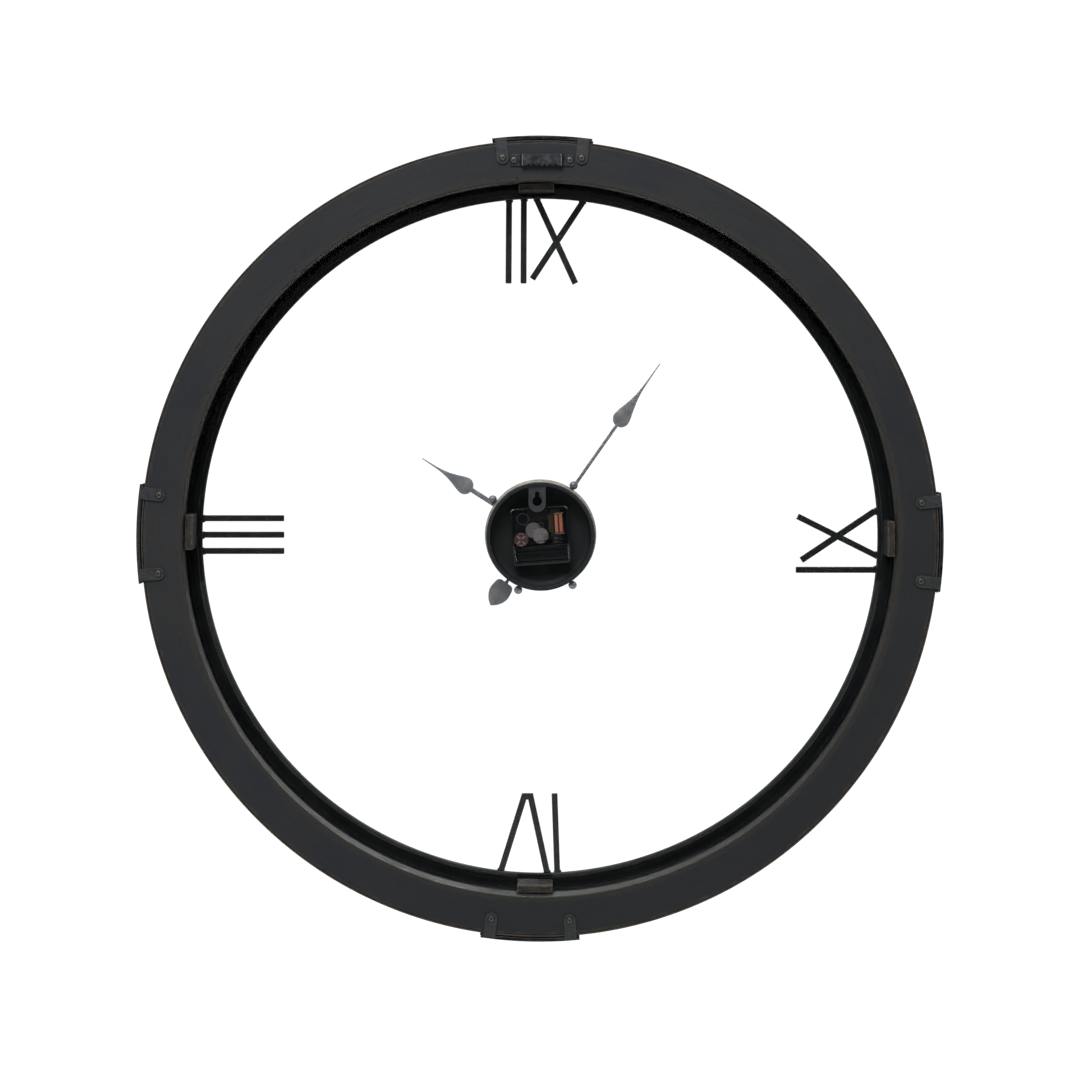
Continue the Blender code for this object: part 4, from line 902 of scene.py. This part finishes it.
def make_wheels():
    """Hub rings on the wheels, and the raised cross on the setting knob, painted lighter as a highlight."""
    # The seconds wheel takes the lighter copy of the milky plastic, as painted light.
    finishes = {"seconds_wheel": "lit_top_wheel", "intermediate_wheel": "dark_wheel"}
    for node in ("seconds_wheel", "third_wheel", "intermediate_wheel", "rotor", "minute_wheel",
                 "transfer_wheel", "hour_wheel", "minute_arbor", "set_wheel"):
        refine(node, 0.00006, 1, finish=finishes.get(node))
    for name, joint, node in (("seconds_hub", "seconds_turn", "seconds_wheel"),
                              ("third_hub", "third_turn", "third_wheel"),
                              ("intermediate_hub", "intermediate_turn", "intermediate_wheel")):
        depths = turned_levels(node, joint_place(joint))[1]
        face = [depth for depth in depths if depth < depths[-1] - 0.001][-1]
        for ring, (inner, outer) in enumerate(((0.0009, 0.0014), (0.0026, 0.003))):
            work = lathe(softened([(inner, face - 0.0001), (inner, face + 0.0003), (outer, face + 0.0003),
                                   (outer, face - 0.0001)], 0.0001), 48)
            add_piece(f"{name}_ring_{ring + 1}", mark_edges(work), finishes.get(node, "wheel"), BODY_OF[node],
                      centre=joint_place(joint))
    centre = joint_place("setting_turn")
    low, high = span("set_wheel")
    radius, top = (high.x - low.x) / 2, high.z
    knob = [(0.0, top + 0.0002), (0.001, top + 0.0002), (0.0014, top + 0.0008), (0.002, top + 0.0008),
            (0.0024, top + 0.0002), (radius - 0.0016, top + 0.0002), (radius - 0.0013, top + 0.0008),
            (radius - 0.0004, top + 0.0008), (radius + 0.0001, top + 0.0003),
            (radius + 0.0001, top - 0.002), (0.0, top - 0.002)]
    work = lathe(softened(knob, 0.0002, closed=False), 96, closed=False)
    add_piece("set_knob_shape", mark_edges(work), "knob", BODY_OF["set_wheel"], centre=centre)
    # The cross takes the lighter maroon, a painted highlight.
    for i in range(4):
        spoke = rounded(bar(0.002, -0.0005, radius - 0.0014, 0.0005, top + 0.0001, top + 0.0008), 0.0002)
        add_piece(f"set_knob_spoke_{i + 1}", spoke, "knob_ridge_highlight", BODY_OF["set_wheel"], centre=centre,
                  turn=math.radians(45.0 + 90.0 * i))
    depth = span("movement_cover")[0].z
    cap = [(0.0, depth - 0.0004), (0.0009, depth - 0.0004), (0.0012, depth - 0.0009),
           (0.0026, depth - 0.0009), (0.0029, depth - 0.0012), (0.0029, depth - 0.0018),
           (0.0, depth - 0.0018)]
    work = lathe(softened(cap, 0.0001, closed=False), 48, closed=False)
    add_piece("rotor_cap", mark_edges(work), "rotor", BODY_OF["rotor"], centre=joint_place("rotor_turn"))


# ---- hands

def smoothed(points, steps=5):
    """A smooth line through points."""
    made = []
    for i in range(len(points) - 1):
        four = [Vector(points[max(0, min(len(points) - 1, i + k))]) for k in (-1, 0, 1, 2)]
        for step in range(steps):
            t = step / steps
            made.append(0.5 * (2 * four[1] + (four[2] - four[0]) * t
                               + (2 * four[0] - 5 * four[1] + 4 * four[2] - four[3]) * t ** 2
                               + (3 * four[1] - four[0] - 3 * four[2] + four[3]) * t ** 3))
    made.append(Vector(points[-1]))
    return made


def hand_outline(node):
    """How far a hand is turned from twelve o'clock, and its right-hand side from its tip to its tail."""
    points = [p.xy - AXIS for p in points_of(node)]
    reach = max(p.length for p in points)
    tip = sum((p for p in points if p.length > reach - 1e-5), Vector((0.0, 0.0)))
    turn = math.atan2(tip.y, tip.x) - math.pi / 2
    upright = [Matrix.Rotation(-turn, 2) @ p for p in points]
    side = sorted({(round(p.x, 5), round(p.y, 5)) for p in upright if p.x > 1e-5 and p.length > 0.004},
                  key=lambda p: -p[1])
    return turn, side


def make_hand(node, fold):
    """Sheet pressed into a shallow ridge along its middle, round a flat boss."""
    turn, side = hand_outline(node)
    low, high = span(node)
    hub = min(Vector(p).length for p in side)
    line = smoothed([(max(x, 0.0002), y) for x, y in side])
    widest = max(p.x for p in line)
    work = bmesh.new()
    thin = 0.00035
    rows = []
    for point in line:
        share = min(1.0, point.x / widest)
        ridge = fold * (0.25 + 0.75 * share)
        across = ((-1.0, 0.0), (-0.5, 0.45), (0.0, 1.0), (0.5, 0.45), (1.0, 0.0))
        row = [(point.x * side, point.y, high.z - fold + ridge * lift - 0.00005) for side, lift in across]
        back_row = [work.verts.new(co) for co in row]
        front_row = [work.verts.new((x, y, max(low.z, z - thin))) for x, y, z in row]
        rows.append((back_row, front_row))
    for (back_a, front_a), (back_b, front_b) in zip(rows, rows[1:]):
        for i in range(4):
            work.faces.new((back_a[i], back_a[i + 1], back_b[i + 1], back_b[i]))
            work.faces.new((front_a[i], front_b[i], front_b[i + 1], front_a[i + 1]))
        work.faces.new((back_a[0], back_b[0], front_b[0], front_a[0]))
        work.faces.new((back_a[4], front_a[4], front_b[4], back_b[4]))
    for back_row, front_row in (rows[0], rows[-1]):
        for i in range(4):
            work.faces.new((back_row[i], back_row[i + 1], front_row[i + 1], front_row[i]))
    bmesh.ops.recalc_face_normals(work, faces=work.faces)
    mark_edges(work, 25.0)
    add_piece(f"{node}_shape", work, "pewter", BODY_OF[node], [node], AXIS, turn, flat=True)
    bore, rim = (0.0013 if node == "minute_hand" else 0.0025), hub * 1.02
    boss = softened([(bore, low.z), (rim, low.z), (rim, high.z), (bore, high.z)], 0.0002)
    add_piece(f"{node}_boss", mark_edges(lathe(boss, 72)), "pewter", BODY_OF[node], centre=AXIS)


def make_hands():
    make_hand("hour_hand", 0.00055)
    make_hand("minute_hand", 0.00055)
    low, high = span("hand_cap_nut")
    radius = (high.x - low.x) / 2
    cap = [(0.0, low.z), (radius * 0.55, low.z + 0.0003), (radius * 0.94, low.z + 0.0014),
           (radius, high.z - 0.0006), (radius, high.z), (0.0014, high.z), (0.0014, low.z + 0.001),
           (0.0, low.z + 0.001)]
    work = mark_edges(lathe(softened(cap, 0.0004, closed=False), 64, closed=False))
    add_piece("hand_cap_nut_shape", work, "brass", BODY_OF["hand_cap_nut"], ["hand_cap_nut"], AXIS)


# ---- stage

def seen_ray(tree):
    """One where the ray comes straight from the camera or went through glass without being reflected."""
    path = tree.nodes.new("ShaderNodeLightPath")
    sums = [tree.nodes.new("ShaderNodeMath") for _ in range(3)]
    for made, operation in zip(sums, ("LESS_THAN", "MULTIPLY", "MAXIMUM")):
        made.operation = operation
    tree.links.new(path.outputs["Glossy Depth"], sums[0].inputs[0])
    sums[0].inputs[1].default_value = 0.5
    tree.links.new(path.outputs["Is Transmission Ray"], sums[1].inputs[0])
    tree.links.new(sums[0].outputs[0], sums[1].inputs[1])
    tree.links.new(sums[1].outputs[0], sums[2].inputs[0])
    tree.links.new(path.outputs["Is Camera Ray"], sums[2].inputs[1])
    return sums[2].outputs[0]


def make_stage():
    """A pale floor far below the hanging clock, burnt out to white like the paper behind it."""
    graph = Graph("pale_floor", Roughness=0.9, Base_Color=(0.5, 0.5, 0.5, 1.0))
    glow = graph.add("Emission", {"Color": WHITE, "Strength": 1.1})
    mixed = graph.add("MixShader", {0: seen_ray(graph.tree), 1: graph.shader.outputs[0], 2: glow.outputs[0]})
    graph.tree.links.new(mixed.outputs[0], graph.tree.nodes["Material Output"].inputs["Surface"])
    mesh = bpy.data.meshes.new("floor")
    corners = [(FLOOR_REACH * x, FLOOR_REACH * y, 0) for x, y in ((-1, -1), (1, -1), (1, 1), (-1, 1))]
    mesh.from_pydata(corners, [], [(0, 1, 2, 3)])
    mesh.materials.append(graph.material)
    floor = bpy.data.objects.new("floor", mesh)
    floor.location.z = FLOOR_LEVEL
    bpy.context.scene.collection.objects.link(floor)


def add_lamp(name, place, power):
    """A soft lamp that faces the middle of the clock."""
    lamp = bpy.data.lights.new(name, "AREA")
    lamp.shape = "RECTANGLE"
    lamp.size, lamp.size_y = 1.8, 1.4
    lamp.energy = power
    obj = bpy.data.objects.new(name, lamp)
    obj.location = place
    obj.rotation_euler = (-Vector(place)).to_track_quat("-Z", "Y").to_euler()
    bpy.context.scene.collection.objects.link(obj)
    obj.visible_camera = False


def make_light():
    """A sky that is brighter towards the top, seen as plain white, and a lamp on either side of the clock."""
    world = bpy.data.worlds.new("studio")
    bpy.context.scene.world = world
    world.use_nodes = True
    tree = world.node_tree
    tree.nodes.clear()
    direction = tree.nodes.new("ShaderNodeTexCoord")
    parts = tree.nodes.new("ShaderNodeSeparateXYZ")
    tree.links.new(direction.outputs["Generated"], parts.inputs[0])
    shade = tree.nodes.new("ShaderNodeMapRange")
    tree.links.new(parts.outputs["Z"], shade.inputs["Value"])
    for key, value in (("From Min", 0.0), ("From Max", 1.0), ("To Min", 0.06), ("To Max", 1.25)):
        shade.inputs[key].default_value = value
    soft = tree.nodes.new("ShaderNodeBackground")
    soft.inputs["Color"].default_value = WHITE
    tree.links.new(shade.outputs[0], soft.inputs["Strength"])
    backdrop = tree.nodes.new("ShaderNodeBackground")
    backdrop.inputs["Color"].default_value = WHITE
    backdrop.inputs["Strength"].default_value = 1.1
    mixed = tree.nodes.new("ShaderNodeMixShader")
    tree.links.new(seen_ray(tree), mixed.inputs[0])
    tree.links.new(soft.outputs[0], mixed.inputs[1])
    tree.links.new(backdrop.outputs[0], mixed.inputs[2])
    out = tree.nodes.new("ShaderNodeOutputWorld")
    tree.links.new(mixed.outputs[0], out.inputs["Surface"])
    add_lamp("key_back", (0.5, 2.4, 2.6), 110.0)
    add_lamp("key_front", (-1.0, -2.6, 2.2), 70.0)
    bpy.context.scene.view_settings.view_transform = "Standard"


def make_camera():
    """Looks at the back of the clock from a little above its middle."""
    camera = bpy.data.cameras.new("camera")
    camera.sensor_width = SENSOR
    camera.lens = SENSOR * CAMERA_FOCAL
    to_middle = math.atan2(CAMERA_HEIGHT, CAMERA_DISTANCE)
    camera.shift_y = -CAMERA_FOCAL * math.tan(to_middle - CAMERA_TILT) + 0.0007
    camera.clip_start, camera.clip_end = 0.05, 60.0
    obj = bpy.data.objects.new("camera", camera)
    obj.location = (0.0, span("front_case")[1].z + CAMERA_DISTANCE, CAMERA_HEIGHT)
    obj.rotation_mode = "QUATERNION"
    facing = Vector((0.0, -math.cos(CAMERA_TILT), -math.sin(CAMERA_TILT)))
    obj.rotation_quaternion = facing.to_track_quat("-Z", "Y")
    bpy.context.scene.collection.objects.link(obj)
    bpy.context.scene.camera = obj


def finish_carried_nodes():
    """Gives the nodes that are shown as packed their finishes."""
    for node, obj in frame["nodes"].items():
        obj.data.materials.clear()
        obj.data.materials.append(FINISHES[SLOT_OF[node]])


FINISHES = make_finishes()
finish_carried_nodes()
make_case()
make_board()
make_glass()
make_blocks()
make_fasteners()
make_numerals()
make_pod()
make_pod_tab()
make_pod_screws()
make_movement()
make_coil()
make_wheels()
make_hands()
make_stage()
make_light()
make_camera()
